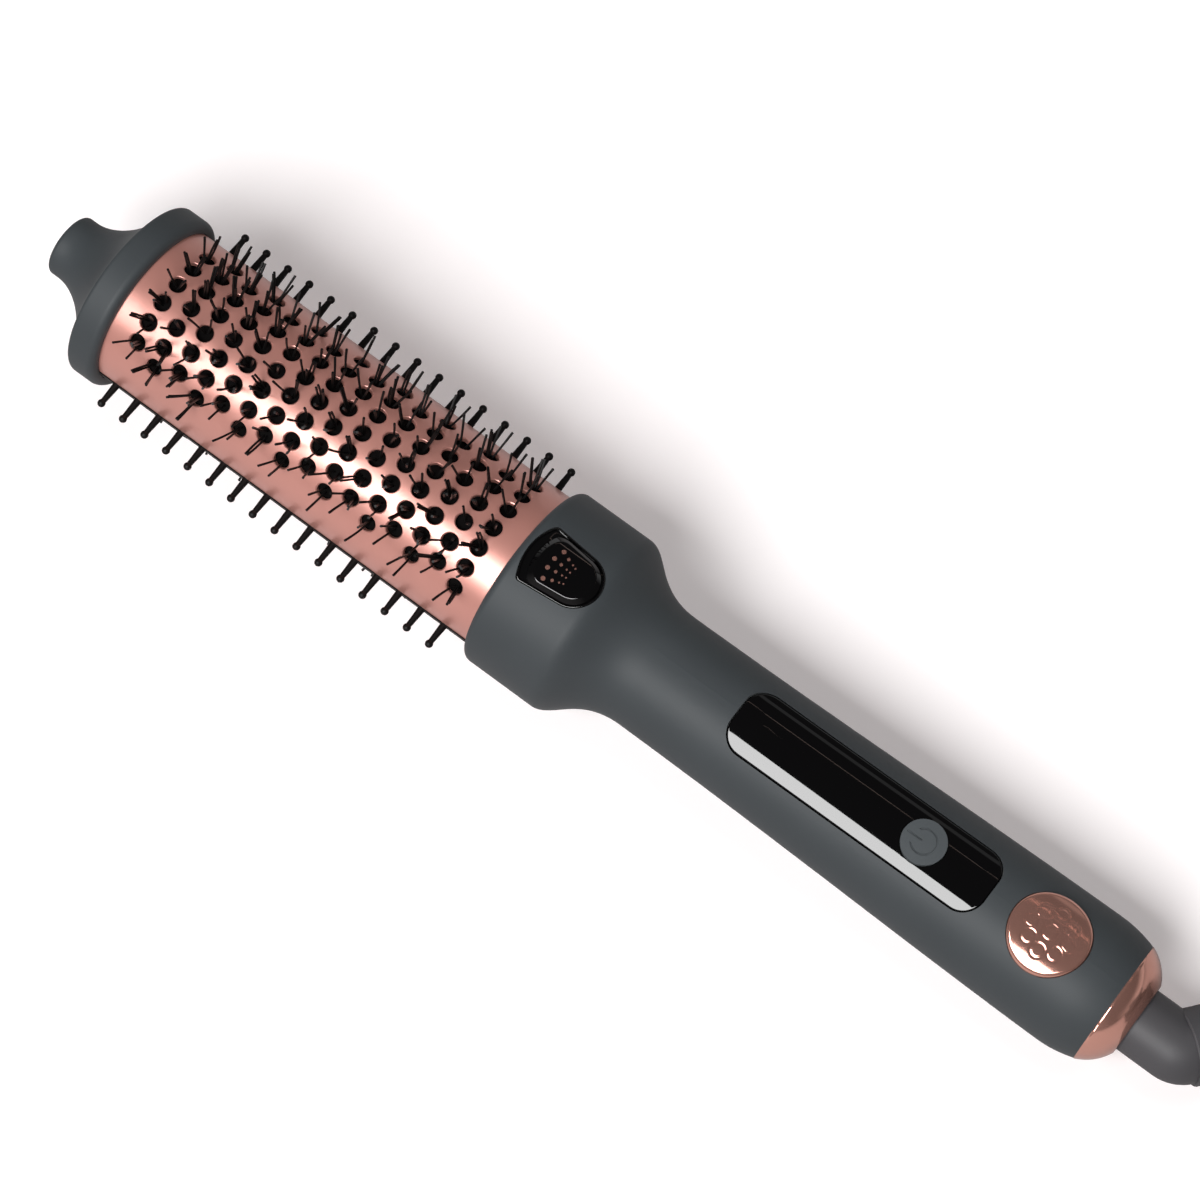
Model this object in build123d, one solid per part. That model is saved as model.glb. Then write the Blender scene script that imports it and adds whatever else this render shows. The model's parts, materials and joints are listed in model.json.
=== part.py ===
from build123d import *
import math
import os
import random

# A heated round brush with a swivel cord, lying on a table with its controls up.
# The brush is drawn about a level X axis: x = 0 is the front edge of the collar, the tip
# is towards -X, the tail towards +X, and +Z is the side with the controls.

# Barrel and its holes
barrel_radius = 19.0
barrel_length = 100.8  # seen between the tip flange and the collar
barrel_wall = 1.0
barrel_sunk_front = 4.0  # length inside the tip flange
barrel_sunk_back = 8.0  # length inside the collar
hole_radius = 1.9
hole_sink = 0.25  # countersink
ring_count = 16
ring_pitch = 5.787
ring_start = 6.97  # first ring, from the flange
hole_step_angle = 15.68
holes_per_ring = (6, 7)  # the rings alternate
barrel_roll = 2.0  # how far the barrel is turned against the controls

# Comb strips with ball-tipped pins
strip_thickness = 1.5
strip_proud = 0.25
strip_foot_thickness = 3.6
strip_foot_depth = 1.7
pin_count = 16
pin_pitch = 5.98
pin_start_left = 5.5  # first pin, from the flange
pin_start_right = 4.65
pin_reach = 24.25  # centre of the ball, from the axis
pin_ball_radius = 0.9
pin_root_radius = 0.86
pin_end_radius = 0.6

# Thin bristles on their pads
pad_thickness = 1.4
pad_half_angle = 54.0
strand_width = 0.45
strands_per_hole = 2
strand_spread = 0.55  # from the hole's axis, at the pad
strand_lean_max = 26.0
strand_lean_min = 9.0
bristle_reach = 24.9  # furthest tip from the axis
bristle_unevenness = 1.3
strand_gap = 0.3  # least gap between two strands' axes, past their width

# Tip cap
knob_radius = 7.35
knob_length = 2.8
bell_length = 14.7  # from the knob to the flange
bell_radius = 19.9  # where it meets the flange
flange_radius = 21.5
flange_length = 7.1
flange_edge = 0.9  # rounding of the flange's front edge
flange_rim = 1.9  # and of its back edge
cap_post_radius = 5.0
cap_post_length = 8.0

# Handle sleeve
collar_radius = 21.65
collar_lip = 1.9
collar_length = 18.15  # up to the start of the shoulder
shoulder_length = 17.7
grip_radius_front = 13.8
grip_radius_back = 15.38
sleeve_length = 152.9
sleeve_end_radius = 14.0
sleeve_tail_round = 8.8  # length of the rounding before the end ring
collar_bore = 19.7
grip_bore = 11.9
collar_lip_depth = 2.5

# End ring and swivel neck
ring_length = 5.9
ring_radius = 14.1
ring_neck_gap = 0.52
ring_mouth_round = 0.5
swivel_wall = 2.72  # from the chassis bore to the neck
neck_straight = 8.9  # past the end ring
neck_bend_radius = 3.0
cord_yaw = 52.0  # where the strain relief points, seen from above
cord_dip = 8.0  # and how steeply it falls
stem_radius = 4.0
thrust_step = 1.22  # how far the thrust collar stands out from the neck
swivel_fit = 0.05  # radial running clearance
relief_length = 26.0
relief_step = 0.7  # how far its base stands out from the neck
relief_base_length = 6.2
relief_tip_radius = 4.3
relief_rib_count = 6

# Panel, button, medallion and ion outlet
panel_start = 56.5
panel_length = 63.6
panel_width = 14.95
panel_corner = 4.9
panel_gap = 0.25
panel_sink = 0.1
button_from_panel = 46.8
button_radius = 4.9
button_gap = 0.15
button_travel = 0.5
button_proud = 0.4
medallion_from_end = 18.2  # its centre, from the end of the sleeve
medallion_radius = 8.9
medallion_rim = 0.8  # rounding of its edge
medallion_gap = 0.1
outlet_start = 1.95
outlet_length = 18.0
outlet_half_width = 7.2
outlet_corner = 1.1
outlet_depth = 1.0
badge_start = 1.35  # the badge leaves a crescent free at the tray's wide end
badge_corner = 3.4
badge_proud = 0.6
badge_edge = 0.45
dot_turn = 1.2  # the dots sit this far round from the middle
dot_bow = 0.14  # how far a row's ends fall back, for each unit apart
dot_rows = [  # from the outlet's start, with the dots' radius and their distance apart
    (5.85, 0.5, 2.33),
    (7.8, 0.36, 1.84),
    (9.35, 0.22, 1.53),
    (10.3, 0.2, 1.34),
]

# Insides
fit = 0.05  # flat faces that are clamped together
slip = 0.15  # loose fit between moulded pieces
seat = 0.3  # gap under a pad
chassis_wall = 1.6
board_thickness = 1.6
board_edge_gap = 0.58
display_edge_gap = 1.375
screw_radius = 1.15
port_height = 8.5

# Cord: the points of its free stretches, from the tip of the strain relief, on a floor at z = 0
cord_diameter = 6.0
tie_thickness = 1.0
lead_points = [(0, 0), (9.9, 12.6), (25.4, 20.1), (42.6, 20.1)]
lead_heights = [0, -1.9, None, None]  # against the tip of the relief, or on the hank's level
hank_run = 90.0
hank_fold_radius = 18.0
hank_step = 7.5
hank_layers = 4
hank_folds_per_layer = 3
hank_waist = 12.0
hank_gap = 0.5
end_points = [
    (0, 0, 0),
    (14.0, 0, 0),
    (26.8, -3.6, 3.5),
    (36.9, -10.2, 8.5),
    (50.0, -14.4, 10.2),
    (63.9, -14.4, 10.2),
]

# Two-pin plug
plug_width = 35.3
plug_thickness = 13.7
plug_length = 32.0
plug_relief_length = 10.0
pin_spacing = 18.6
plug_pin_radius = 2.0
plug_pin_sleeve_radius = 1.8
plug_pin_core_radius = 1.4
plug_pin_length = 19.0
plug_pin_bare = 9.0

# Places along the brush
flange_back = -barrel_length
flange_front = flange_back - flange_length
knob_end = flange_front - bell_length
tip_end = knob_end - knob_length
grip_start = collar_length + shoulder_length
brush_end = sleeve_length + ring_length
barrel_inner = barrel_radius - barrel_wall
pad_outer = barrel_inner - seat
pad_inner = pad_outer - pad_thickness
spreader_outer = pad_inner - seat
spreader_inner = spreader_outer - 1.9
barrel_front = flange_back - barrel_sunk_front
insert_back = barrel_front + 2.9
holder_face = 0.65
holder_flange = barrel_sunk_back + fit
chassis_outer = grip_bore - 0.2
chassis_inner = chassis_outer - chassis_wall
neck_radius = chassis_inner - swivel_wall
thrust_radius = neck_radius + thrust_step
ring_bore = neck_radius + ring_neck_gap
ring_mouth_radius = ring_bore + ring_mouth_round
relief_base_radius = neck_radius + relief_step
chassis_start = collar_length + 12.3
chassis_end = sleeve_length - 5.5
ring_x = [flange_back + ring_start + k * ring_pitch for k in range(ring_count)]
button_x = panel_start + button_from_panel
medallion_x = sleeve_length - medallion_from_end
needle_x = outlet_start + 11.5
board_screw_x = (panel_start + 6.0, panel_start + panel_length - 1.6)
main_board_top = -1.6
display_board_bottom = 3.6
display_board_top = display_board_bottom + 1.4
main_board_bottom = main_board_top - board_thickness
main_board_half = math.sqrt(chassis_inner**2 - main_board_bottom**2) - board_edge_gap
display_board_half = math.sqrt(chassis_inner**2 - display_board_top**2) - display_edge_gap
screw_row = chassis_inner - 3.1  # chassis screws, to each side
screw_seat = -(chassis_inner - 3.1)
part_floor = -(chassis_inner - 2.0)  # lowest part under the main board
generator_floor = -(chassis_inner - 2.6)
lens_under = chassis_outer + 0.75
module_half = display_board_half - 2.4
module_top = math.sqrt(lens_under**2 - module_half**2) - 0.1
ear_half = 2.0  # the button's ears, under the chassis wall
ear_top = math.sqrt(chassis_inner**2 - ear_half**2) - 0.05
ear_bottom = ear_top - 1.2
switch_top = ear_bottom - button_travel - 0.05
heater_lead_row = screw_row - 3.1
mains_lead_row = screw_row - 3.8
mains_lead_height = chassis_inner - 3.8
LOW = Align.MIN
MID = Align.CENTER

nodes = {}


def bezier_point(p, t):
    u = 1 - t
    w = (u**3, 3 * u * u * t, 3 * u * t * t, t**3)
    return tuple(sum(a * q[k] for a, q in zip(w, p)) for k in (0, 1))


# Outer outline of the sleeve, as (x, radius)
shoulder = [
    (collar_length, collar_radius),
    (collar_length + 0.27 * shoulder_length, collar_radius),
    (collar_length + 0.38 * shoulder_length, grip_radius_front),
    (grip_start, grip_radius_front),
]
tail_start = sleeve_length - sleeve_tail_round
grip_span = tail_start - grip_start
grip = [
    (grip_start, grip_radius_front),
    (grip_start + 0.37 * grip_span, grip_radius_front),
    (grip_start + 0.7 * grip_span, grip_radius_back - 0.07),
    (tail_start, grip_radius_back),
]


def outer_radius(x):
    """The sleeve's outer radius at x, on the shoulder or the grip."""
    if x <= collar_length:
        return collar_radius
    curve = shoulder if x < grip_start else grip
    low, high = 0.0, 1.0
    for _ in range(40):
        middle = (low + high) / 2
        if bezier_point(curve, middle)[0] < x:
            low = middle
        else:
            high = middle
    return bezier_point(curve, low)[1]


def at(points, lift=0.0):
    return [Vector(x, 0, r + lift) for x, r in points]


def sleeve_outline(lift=0.0):
    """The edges of the sleeve's outer outline, moved out by lift."""
    bend = 1 - math.sqrt(0.5)
    lip = [
        (0, collar_radius - collar_lip),
        (collar_lip * bend, collar_radius - collar_lip * bend),
        (collar_lip, collar_radius),
    ]
    drop = grip_radius_back - sleeve_end_radius
    tail = [
        (tail_start, grip_radius_back),
        (tail_start + 0.62 * sleeve_tail_round, grip_radius_back - 0.36 * drop),
        (sleeve_length, sleeve_end_radius),
    ]
    return [
        ThreePointArc(*at(lip, lift)),
        Line(*at([lip[-1], shoulder[0]], lift)),
        Bezier(*at(shoulder, lift)),
        Bezier(*at(grip, lift)),
        ThreePointArc(*at(tail, lift)),
    ]


def turned(edges, *corners):
    """A solid of revolution about X: open edges closed by straight lines through corners."""
    first, last = edges[0] @ 0, edges[-1] @ 1
    close = Polyline(last, *at(corners), first)
    return revolve(make_face(Wire(edges + list(close.edges()))), Axis.X)


def lathe(*corners):
    return revolve(make_face(Polyline(*at(corners), close=True)), Axis.X)


def rod(radius, x0, x1, y=0.0, z=0.0):
    return Pos(x0, y, z) * Rot(0, 90, 0) * Cylinder(radius, x1 - x0, align=(MID, MID, LOW))


def tube(outer, inner, x0, x1):
    return rod(outer, x0, x1) - rod(inner, x0 - 1, x1 + 1)


def block(x0, x1, y0, y1, z0, z1):
    return Pos(x0, y0, z0) * Box(x1 - x0, y1 - y0, z1 - z0, align=(LOW, LOW, LOW))


def post(radius, x, y, z0, z1):
    return Pos(x, y, z0) * Cylinder(radius, z1 - z0, align=(MID, MID, LOW))


def one(shape):
    """The shape as one solid, or as a compound when it is several."""
    solids = shape.solids()
    return solids[0] if len(solids) == 1 else Compound(children=list(solids))


def keep(name, shape):
    nodes[name] = one(shape)


def group(name, shapes):
    nodes[name] = Compound(children=[s for shape in shapes for s in shape.solids()])


# Tip cap and what carries it
def make_tip():
    round_edge = 1.1
    bend = 1 - math.sqrt(0.5)
    nose = [
        (tip_end, knob_radius - round_edge),
        (tip_end + round_edge * bend, knob_radius - round_edge * bend),
        (tip_end + round_edge, knob_radius),
    ]
    bell = [
        (knob_end, knob_radius),
        (knob_end + 0.31 * bell_length, knob_radius),
        (flange_front - 0.235 * bell_length, knob_radius + 0.355 * (bell_radius - knob_radius)),
        (flange_front, bell_radius),
    ]
    edge = [
        (flange_front, flange_radius - flange_edge),
        (flange_front + flange_edge * bend, flange_radius - flange_edge * bend),
        (flange_front + flange_edge, flange_radius),
    ]
    rim = [
        (flange_back - flange_rim, flange_radius),
        (flange_back - flange_rim * bend, flange_radius - flange_rim * bend),
        (flange_back, flange_radius - flange_rim),
    ]
    outline = [
        ThreePointArc(*at(nose)),
        Line(*at([nose[-1], bell[0]])),
        Bezier(*at(bell)),
        Line(*at([bell[-1], edge[0]])),
        ThreePointArc(*at(edge)),
        Line(*at([edge[-1], rim[0]])),
        ThreePointArc(*at(rim)),
    ]
    mouth = barrel_radius + slip
    cavity = barrel_front - fit
    post_bore = cap_post_radius + slip
    cap = turned(
        outline,
        (flange_back, mouth),
        (cavity, mouth),
        (cavity, 12.8),
        (cavity - 3.0, 12.8),
        (cavity - 7.5, post_bore),
        (cavity - cap_post_length - 1.0, post_bore),
        (cavity - cap_post_length - 1.0, 0),
        (tip_end, 0),
    )
    keep("tip_cap", cap)
    insert = rod(barrel_inner - slip, barrel_front, insert_back)
    insert += rod(cap_post_radius, barrel_front - cap_post_length, barrel_front)
    screws = []
    for side in (-1, 1):
        z = side * port_height
        insert -= rod(screw_radius + slip, barrel_front - 1, insert_back + 1, 0, z)
        shank = rod(screw_radius, barrel_front, insert_back + 10.0, 0, z)
        screws.append(shank + rod(2.1, barrel_front - 1.4, barrel_front, 0, z))
    keep("tip_insert", insert)
    group("tip_screws", screws)


# Barrel shells with their rings of holes
def ring_angles(k):
    count = holes_per_ring[k % 2]
    return [(n - (count - 1) / 2) * hole_step_angle for n in range(count)]


def around(angle, x, height):
    """A place at this height over the axis, turned about X from the top."""
    return Rot(angle, 0, 0) * Pos(x, 0, height)


def make_shells():
    body = tube(barrel_radius, barrel_inner, barrel_front, barrel_sunk_back)
    half_seam = strip_thickness / 2 + 0.1
    reach = barrel_radius + 1
    slab = block(barrel_front - 1, barrel_sunk_back + 1, -reach, reach, half_seam, reach)
    shell = body & slab
    drill = Cylinder(hole_radius, 3.0, align=(MID, MID, LOW))
    drill += Pos(0, 0, barrel_wall + 0.9 - hole_sink) * Cone(
        hole_radius, hole_radius + hole_sink + 0.35, hole_sink + 0.35, align=(MID, MID, LOW)
    )
    depth = barrel_inner - 0.9
    tools = [around(a, x, depth) * drill for k, x in enumerate(ring_x) for a in ring_angles(k)]
    shell = shell.cut(*tools) if isinstance(shell, Solid) else shell.solids()[0].cut(*tools)
    keep("barrel_shell_upper", shell)
    keep("barrel_shell_lower", Rot(180, 0, 0) * shell)


# Comb strips
def make_strips():
    half = strip_thickness / 2
    foot = strip_foot_thickness / 2
    edge = barrel_radius + strip_proud
    start, end = insert_back + 0.3, holder_face - fit
    web = block(start, end, barrel_inner - 0.4, barrel_radius, -half, half)
    web += block(flange_back + 0.1, -0.1, barrel_radius - 0.5, edge, -half, half)
    base = block(start, end, barrel_inner - 0.3 - strip_foot_depth, barrel_inner - 0.3, -foot, foot)
    strip = (base + web).solids()[0]
    stand = edge - 0.3
    shaft = Cone(pin_root_radius, pin_end_radius, pin_reach - stand, align=(MID, MID, LOW))
    pin = shaft + Pos(0, 0, pin_reach - stand) * Sphere(pin_ball_radius)
    for name, turn, first in (("left", 0, pin_start_left), ("right", 180, pin_start_right)):
        places = [flange_back + first + n * pin_pitch for n in range(pin_count)]
        pins = [Pos(x, stand, 0) * Rot(-90, 0, 0) * pin for x in places]
        keep("pin_strip_" + name, Rot(turn, 0, 0) * strip.fuse(*pins))


# Bristles: every strand leans its own way, and none comes near another
def segment_gap(a, b):
    """The least distance between two straight strands, each (root, tip)."""
    (p, p1), (q, q1) = a, b
    u, v, w = p1 - p, q1 - q, p - q
    uu, uv, vv, uw, vw = u.dot(u), u.dot(v), v.dot(v), u.dot(w), v.dot(w)
    full = uu * vv - uv * uv
    s = min(1, max(0, (uv * vw - vv * uw) / full)) if full > 1e-9 else 0.0
    t = min(1, max(0, (uv * s + vw) / vv))
    s = min(1, max(0, (uv * t - uw) / uu))
    return ((p + u * s) - (q + v * t)).length


def strand_plan():
    """The root and tip of every strand, ring by ring, for the upper side."""
    draw = random.Random(7)
    root_radius = pad_outer - 0.6
    need = strand_width * 1.42 + strand_gap
    placed = []
    for k, x in enumerate(ring_x):
        for angle in ring_angles(k):
            place = around(angle, x, root_radius)
            first = draw.uniform(0, 360)
            for n in range(strands_per_hole):
                for _ in range(400):
                    way = math.radians(first + n * 360 / strands_per_hole + draw.uniform(-40, 40))
                    lean = math.tan(math.radians(draw.uniform(strand_lean_min, strand_lean_max)))
                    aside = Vector(math.cos(way), math.sin(way), 0)
                    root = place * Pos(*(aside * strand_spread))
                    root = root.position
                    far = (place * Pos(*(aside * (strand_spread + lean) + Vector(0, 0, 1)))).position
                    heading = (far - root).normalized()
                    tip_radius = bristle_reach - draw.uniform(0, bristle_unevenness)
                    across = Vector(0, root.Y, root.Z)
                    rise = Vector(0, heading.Y, heading.Z)
                    b, a = across.dot(rise), rise.dot(rise)
                    c = across.dot(across) - tip_radius**2
                    length = (-b + math.sqrt(b * b - a * c)) / a
                    strand = (root, root + heading * length)
                    near = [s for s in placed if abs(s[0].X - root.X) < 12]
                    if all(segment_gap(s, strand) > need for s in near):
                        placed.append(strand)
                        break
                else:
                    raise ValueError("no room for a strand")
                first = math.degrees(way) - n * 360 / strands_per_hole
    return placed


def make_bristles():
    plan = strand_plan()
    middle = (ring_x[ring_count // 2 - 1] + ring_x[ring_count // 2]) / 2
    ends = {
        "front": (ring_x[0] - 3.2, middle - 0.1),
        "back": (middle + 0.1, ring_x[-1] + 3.2),
    }
    print("strands in all:", 2 * len(plan))
    for part, (x0, x1) in ends.items():
        corners = [(x0, pad_inner), (x1, pad_inner), (x1, pad_outer), (x0, pad_outer)]
        face = make_face(Polyline(*at(corners), close=True))
        pad = Rot(-pad_half_angle, 0, 0) * revolve(face, Axis.X, 2 * pad_half_angle)
        strands = []
        for root, tip in plan:
            if x0 < root.X < x1:
                length = (tip - root).length
                stick = Box(strand_width, strand_width, length, align=(MID, MID, LOW))
                strands.append(Plane(origin=root, z_dir=tip - root) * stick)
        bed = pad.solids()[0].fuse(*strands)
        keep("bristles_upper_" + part, bed)
        keep("bristles_lower_" + part, Rot(180, 0, 0) * bed)


# Heater between two extruded spreaders
def make_heater():
    x0, x1 = insert_back + fit, holder_face - fit
    flat = strip_foot_thickness / 2 + 0.3
    wall = 1.5

    def sector(a0, a1):
        far = 40
        corners = [(0, 0)]
        for a in (a0, (a0 + a1) / 2, a1):
            corners.append((far * math.sin(math.radians(a)), far * math.cos(math.radians(a))))
        return make_face(Polyline(*corners, close=True))

    upper = Pos(0, 20 + flat) * Rectangle(60, 40)
    ring = (Circle(spreader_outer) - Circle(spreader_inner)) & upper
    lands = Circle(barrel_inner - fit) - Circle(spreader_inner)
    land = (lands & sector(58, 80)) + (lands & sector(-80, -58))
    plate = Pos(0, flat + wall / 2) * Rectangle(2 * spreader_inner, wall)
    port = Pos(0, port_height) * Circle(2.4)
    web = Pos(0, (port_height + spreader_inner) / 2 + 0.5) * Rectangle(
        1.4, spreader_inner - port_height + 0.6
    )
    outline = ring + land + plate + web + port - Pos(0, port_height) * Circle(screw_radius + fit)
    yz = Plane(origin=(x0, 0, 0), x_dir=(0, 1, 0), z_dir=(1, 0, 0))
    spreader = extrude(yz * outline, x1 - x0)
    keep("heat_spreader_upper", spreader)
    keep("heat_spreader_lower", Rot(180, 0, 0) * spreader)
    mica = 0.6
    h0, h1 = flange_back + 15.0, flange_back + 85.0
    core = flat - fit - mica - fit
    keep("ceramic_heater", block(h0, h1, -8, 8, -core, core))
    sheets = []
    for side in (-1, 1):
        z0, z1 = sorted((side * (flat - fit - mica), side * (flat - fit)))
        sheets.append(block(h0 - 2, h1 + 2, -10, 10, z0, z1))
    group("mica_sheets", sheets)
    rest = flat + wall
    bead = rod(1.2, h1 - 18, h1 - 13, 1.8, rest + 1.25)
    keep("thermistor", bead)
    fuse = rod(2.0, h1 - 20, h1 - 9, 5.0, -(rest + 2.05))
    fuse += rod(0.4, h1 - 25, h1 - 4, 5.0, -(rest + 2.05))
    keep("thermal_fuse", fuse)
    return h1, rest


# Holder that carries the barrel inside the collar
def make_holder():
    spigot = barrel_inner - slip
    inner = spigot - 2.8
    tube_outer, tube_inner = chassis_inner - 0.2, chassis_inner - 1.8
    holder = lathe(
        (holder_face, 6.2),
        (holder_face, spigot),
        (holder_flange, spigot),
        (holder_flange, collar_bore - 0.2),
        (holder_flange + 3, collar_bore - 0.2),
        (holder_flange + 3, tube_outer),
        (chassis_start + 2.0, tube_outer),
        (chassis_start + 2.0, tube_inner),
        (holder_flange + 0.5, tube_inner),
        (holder_flange - 2.0, inner),
        (holder_face + 2.2, inner),
        (holder_face + 2.2, 6.2),
    )
    screws = []
    for side in (-1, 1):
        z = side * port_height
        holder -= rod(screw_radius + slip, holder_face - 1, holder_face + 4, 0, z)
        shank = rod(screw_radius, holder_face - 12, holder_face + 2.2, 0, z)
        screws.append(shank + rod(2.1, holder_face + 2.2, holder_face + 3.6, 0, z))
    holder -= block(holder_flange + 6, holder_flange + 13, -1.4, 1.4, 5, tube_outer + 1)
    keep("barrel_holder", holder)
    group("barrel_screws", screws)
    start = collar_lip_depth + 0.3
    keep("barrel_gasket", tube(collar_bore - 0.1, barrel_radius + 0.1, start, start + 1.5))


# Upright prisms that cut the sleeve and its covers to their outlines
def panel_prism(grow=0.0, z0=4.0, z1=25.0):
    outline = RectangleRounded(
        panel_length + 2 * grow, panel_width + 2 * grow, panel_corner + grow
    )
    return Pos(panel_start + panel_length / 2, 0, z0) * extrude(outline, z1 - z0)


def outlet_prism(grow, z0=12.0, z1=30.0, start=0.0, corner=outlet_corner):
    """D outline: a bowed wide end towards the tip, and a round narrow end towards the tail."""
    w = outlet_half_width + grow
    x0 = outlet_start + 1.9 - grow + start
    x1 = outlet_start + outlet_length + grow
    narrow = 0.87 * w
    middle = x1 - narrow
    slope = math.atan2(w, middle - x0) - math.asin(narrow / math.hypot(middle - x0, w))
    turn_x, turn_y = middle + narrow * math.sin(slope), narrow * math.cos(slope)
    edges = [
        ThreePointArc((x0, -w), (x0 - 1.9, 0), (x0, w)),
        Line((x0, w), (turn_x, turn_y)),
        ThreePointArc((turn_x, turn_y), (x1, 0), (turn_x, -turn_y)),
        Line((turn_x, -turn_y), (x0, -w)),
    ]
    outline = make_face(Wire(edges))
    outline = fillet(outline.vertices().group_by(Axis.X)[0], corner + grow / 2)
    return Pos(0, 0, z0) * extrude(outline, z1 - z0)


def make_sleeve():
    outline = sleeve_outline()
    sleeve = turned(
        outline,
        (sleeve_length, grip_bore),
        (chassis_start - 1.0, grip_bore),
        (collar_length, collar_bore),
        (collar_lip_depth, collar_bore),
        (collar_lip_depth, barrel_radius + 0.25),
        (0, barrel_radius + 0.25),
    )
    sleeve -= panel_prism(panel_gap)
    pocket = outlet_prism(0.15) - rod(collar_radius - outlet_depth - 0.05, 0, 40)
    sleeve -= pocket
    sleeve -= post(1.2, needle_x, 0, 15, 30)
    sleeve -= post(medallion_radius + medallion_gap, medallion_x, 0, grip_bore + 0.9, 25)
    keep("handle_sleeve", sleeve)


def make_covers():
    # Ion outlet: a tray with a crescent step, a raised badge, and dots let into the badge
    floor = rod(collar_radius - outlet_depth, outlet_start - 3, outlet_start + 25)
    tray_top = rod(collar_radius + 0.05, outlet_start - 3, outlet_start + 25)
    tray = (outlet_prism(0) & tray_top) - floor
    bed = outlet_prism(-0.55, start=badge_start, corner=badge_corner)
    tray -= bed - rod(collar_radius - 0.45, 0, 40)
    crescent = outlet_prism(-0.25) - outlet_prism(-0.1, start=badge_start + 0.65, corner=badge_corner)
    tray -= crescent - rod(collar_radius - 0.6, 0, 40)
    keep("ion_outlet_tray", tray)
    badge_top = rod(collar_radius + badge_proud, 0, outlet_start + 25)
    badge = outlet_prism(-0.6, start=badge_start, corner=badge_corner) & badge_top
    badge = chamfer(badge.faces().sort_by(Axis.Z)[-1].edges(), badge_edge)
    badge -= rod(collar_radius - 0.4, 0, 40)
    dots = []
    for along, radius, apart in dot_rows:
        for n in (-1.5, -0.5, 0.5, 1.5):
            angle = dot_turn - math.degrees(n * apart / collar_radius)
            x = outlet_start + along + dot_bow * apart * n**2
            place = around(angle, x, collar_radius + badge_proud - 0.25)
            badge -= place * Cylinder(radius + 0.02, 1.0, align=(MID, MID, LOW))
            dots.append(place * Cylinder(radius, 0.27, align=(MID, MID, LOW)))
    keep("ion_badge", badge)
    group("ion_dots", dots)

    # Display lens, bedded on a gasket on the chassis
    outer = turned(sleeve_outline(-panel_sink), (sleeve_length, 0), (0, 0))
    lens = (panel_prism() & outer) - rod(lens_under, 0, sleeve_length)
    lens -= post(button_radius + button_gap, button_x, 0, 0, 30)
    keep("display_lens", lens)
    panel_end = panel_start + panel_length
    ring = tube(lens_under - fit, chassis_outer + fit, panel_start - 3, panel_end + 3)
    gasket = ring & (panel_prism(-0.4) - panel_prism(-2.0, 0, 30))
    gasket -= post(button_radius + button_gap, button_x, 0, 0, 30)
    keep("lens_gasket", gasket)

    # Power button: a domed cap on a guide, with ears that keep it under the chassis wall
    top = outer_radius(button_x) + button_proud
    cap = post(button_radius, button_x, 0, ear_bottom, top)
    dome_radius = 38.0
    cap &= Pos(button_x, 0, top - dome_radius) * Sphere(dome_radius)
    cap += block(button_x - 6.3, button_x + 6.3, -ear_half, ear_half, ear_bottom, ear_top)
    sign_radius, groove = 2.75, 0.42
    sign = Circle(sign_radius + groove / 2) - Circle(sign_radius - groove / 2)
    sign -= Pos(-sign_radius, 0) * Rectangle(2 * sign_radius, 3.4)
    sign += Pos(-2.3, 0) * Rectangle(3.6, groove)
    cap -= Pos(button_x, 0, top - 0.35) * extrude(sign, 2)
    keep("power_button", cap)

    # Medallion: a polished boss with a rounded rim and a rosette of eight rings
    seat_z = grip_bore + 0.9 + fit
    crown = outer_radius(medallion_x) + 0.45
    boss = post(medallion_radius, medallion_x, 0, seat_z, crown + 2)
    side_radius, bow = 19.0, 120.0
    arc = ThreePointArc(
        (medallion_x - 12, 0, side_radius - 144 / (2 * bow)),
        (medallion_x, 0, side_radius),
        (medallion_x + 12, 0, side_radius - 144 / (2 * bow)),
    )
    close = Polyline(arc @ 1, (medallion_x + 12, 0, 0), (medallion_x - 12, 0, 0), arc @ 0)
    bowed = revolve(make_face(Wire([arc] + list(close.edges()))), Axis.X)
    saddle = Pos(0, 0, crown - side_radius) * bowed
    boss &= saddle
    boss = fillet(boss.faces().sort_by(Axis.Z)[-1].edges(), medallion_rim)
    groove_shape = Circle(1.9) - Circle(1.5)
    for n in range(8):
        groove_shape += Rot(0, 0, n * 45) * Pos(4.5, 0) * (Circle(1.65) - Circle(1.3))
    cut = Pos(medallion_x, 0, seat_z) * extrude(groove_shape, 10)
    boss -= cut - Pos(0, 0, -0.3) * saddle
    keep("medallion", boss)


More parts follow.
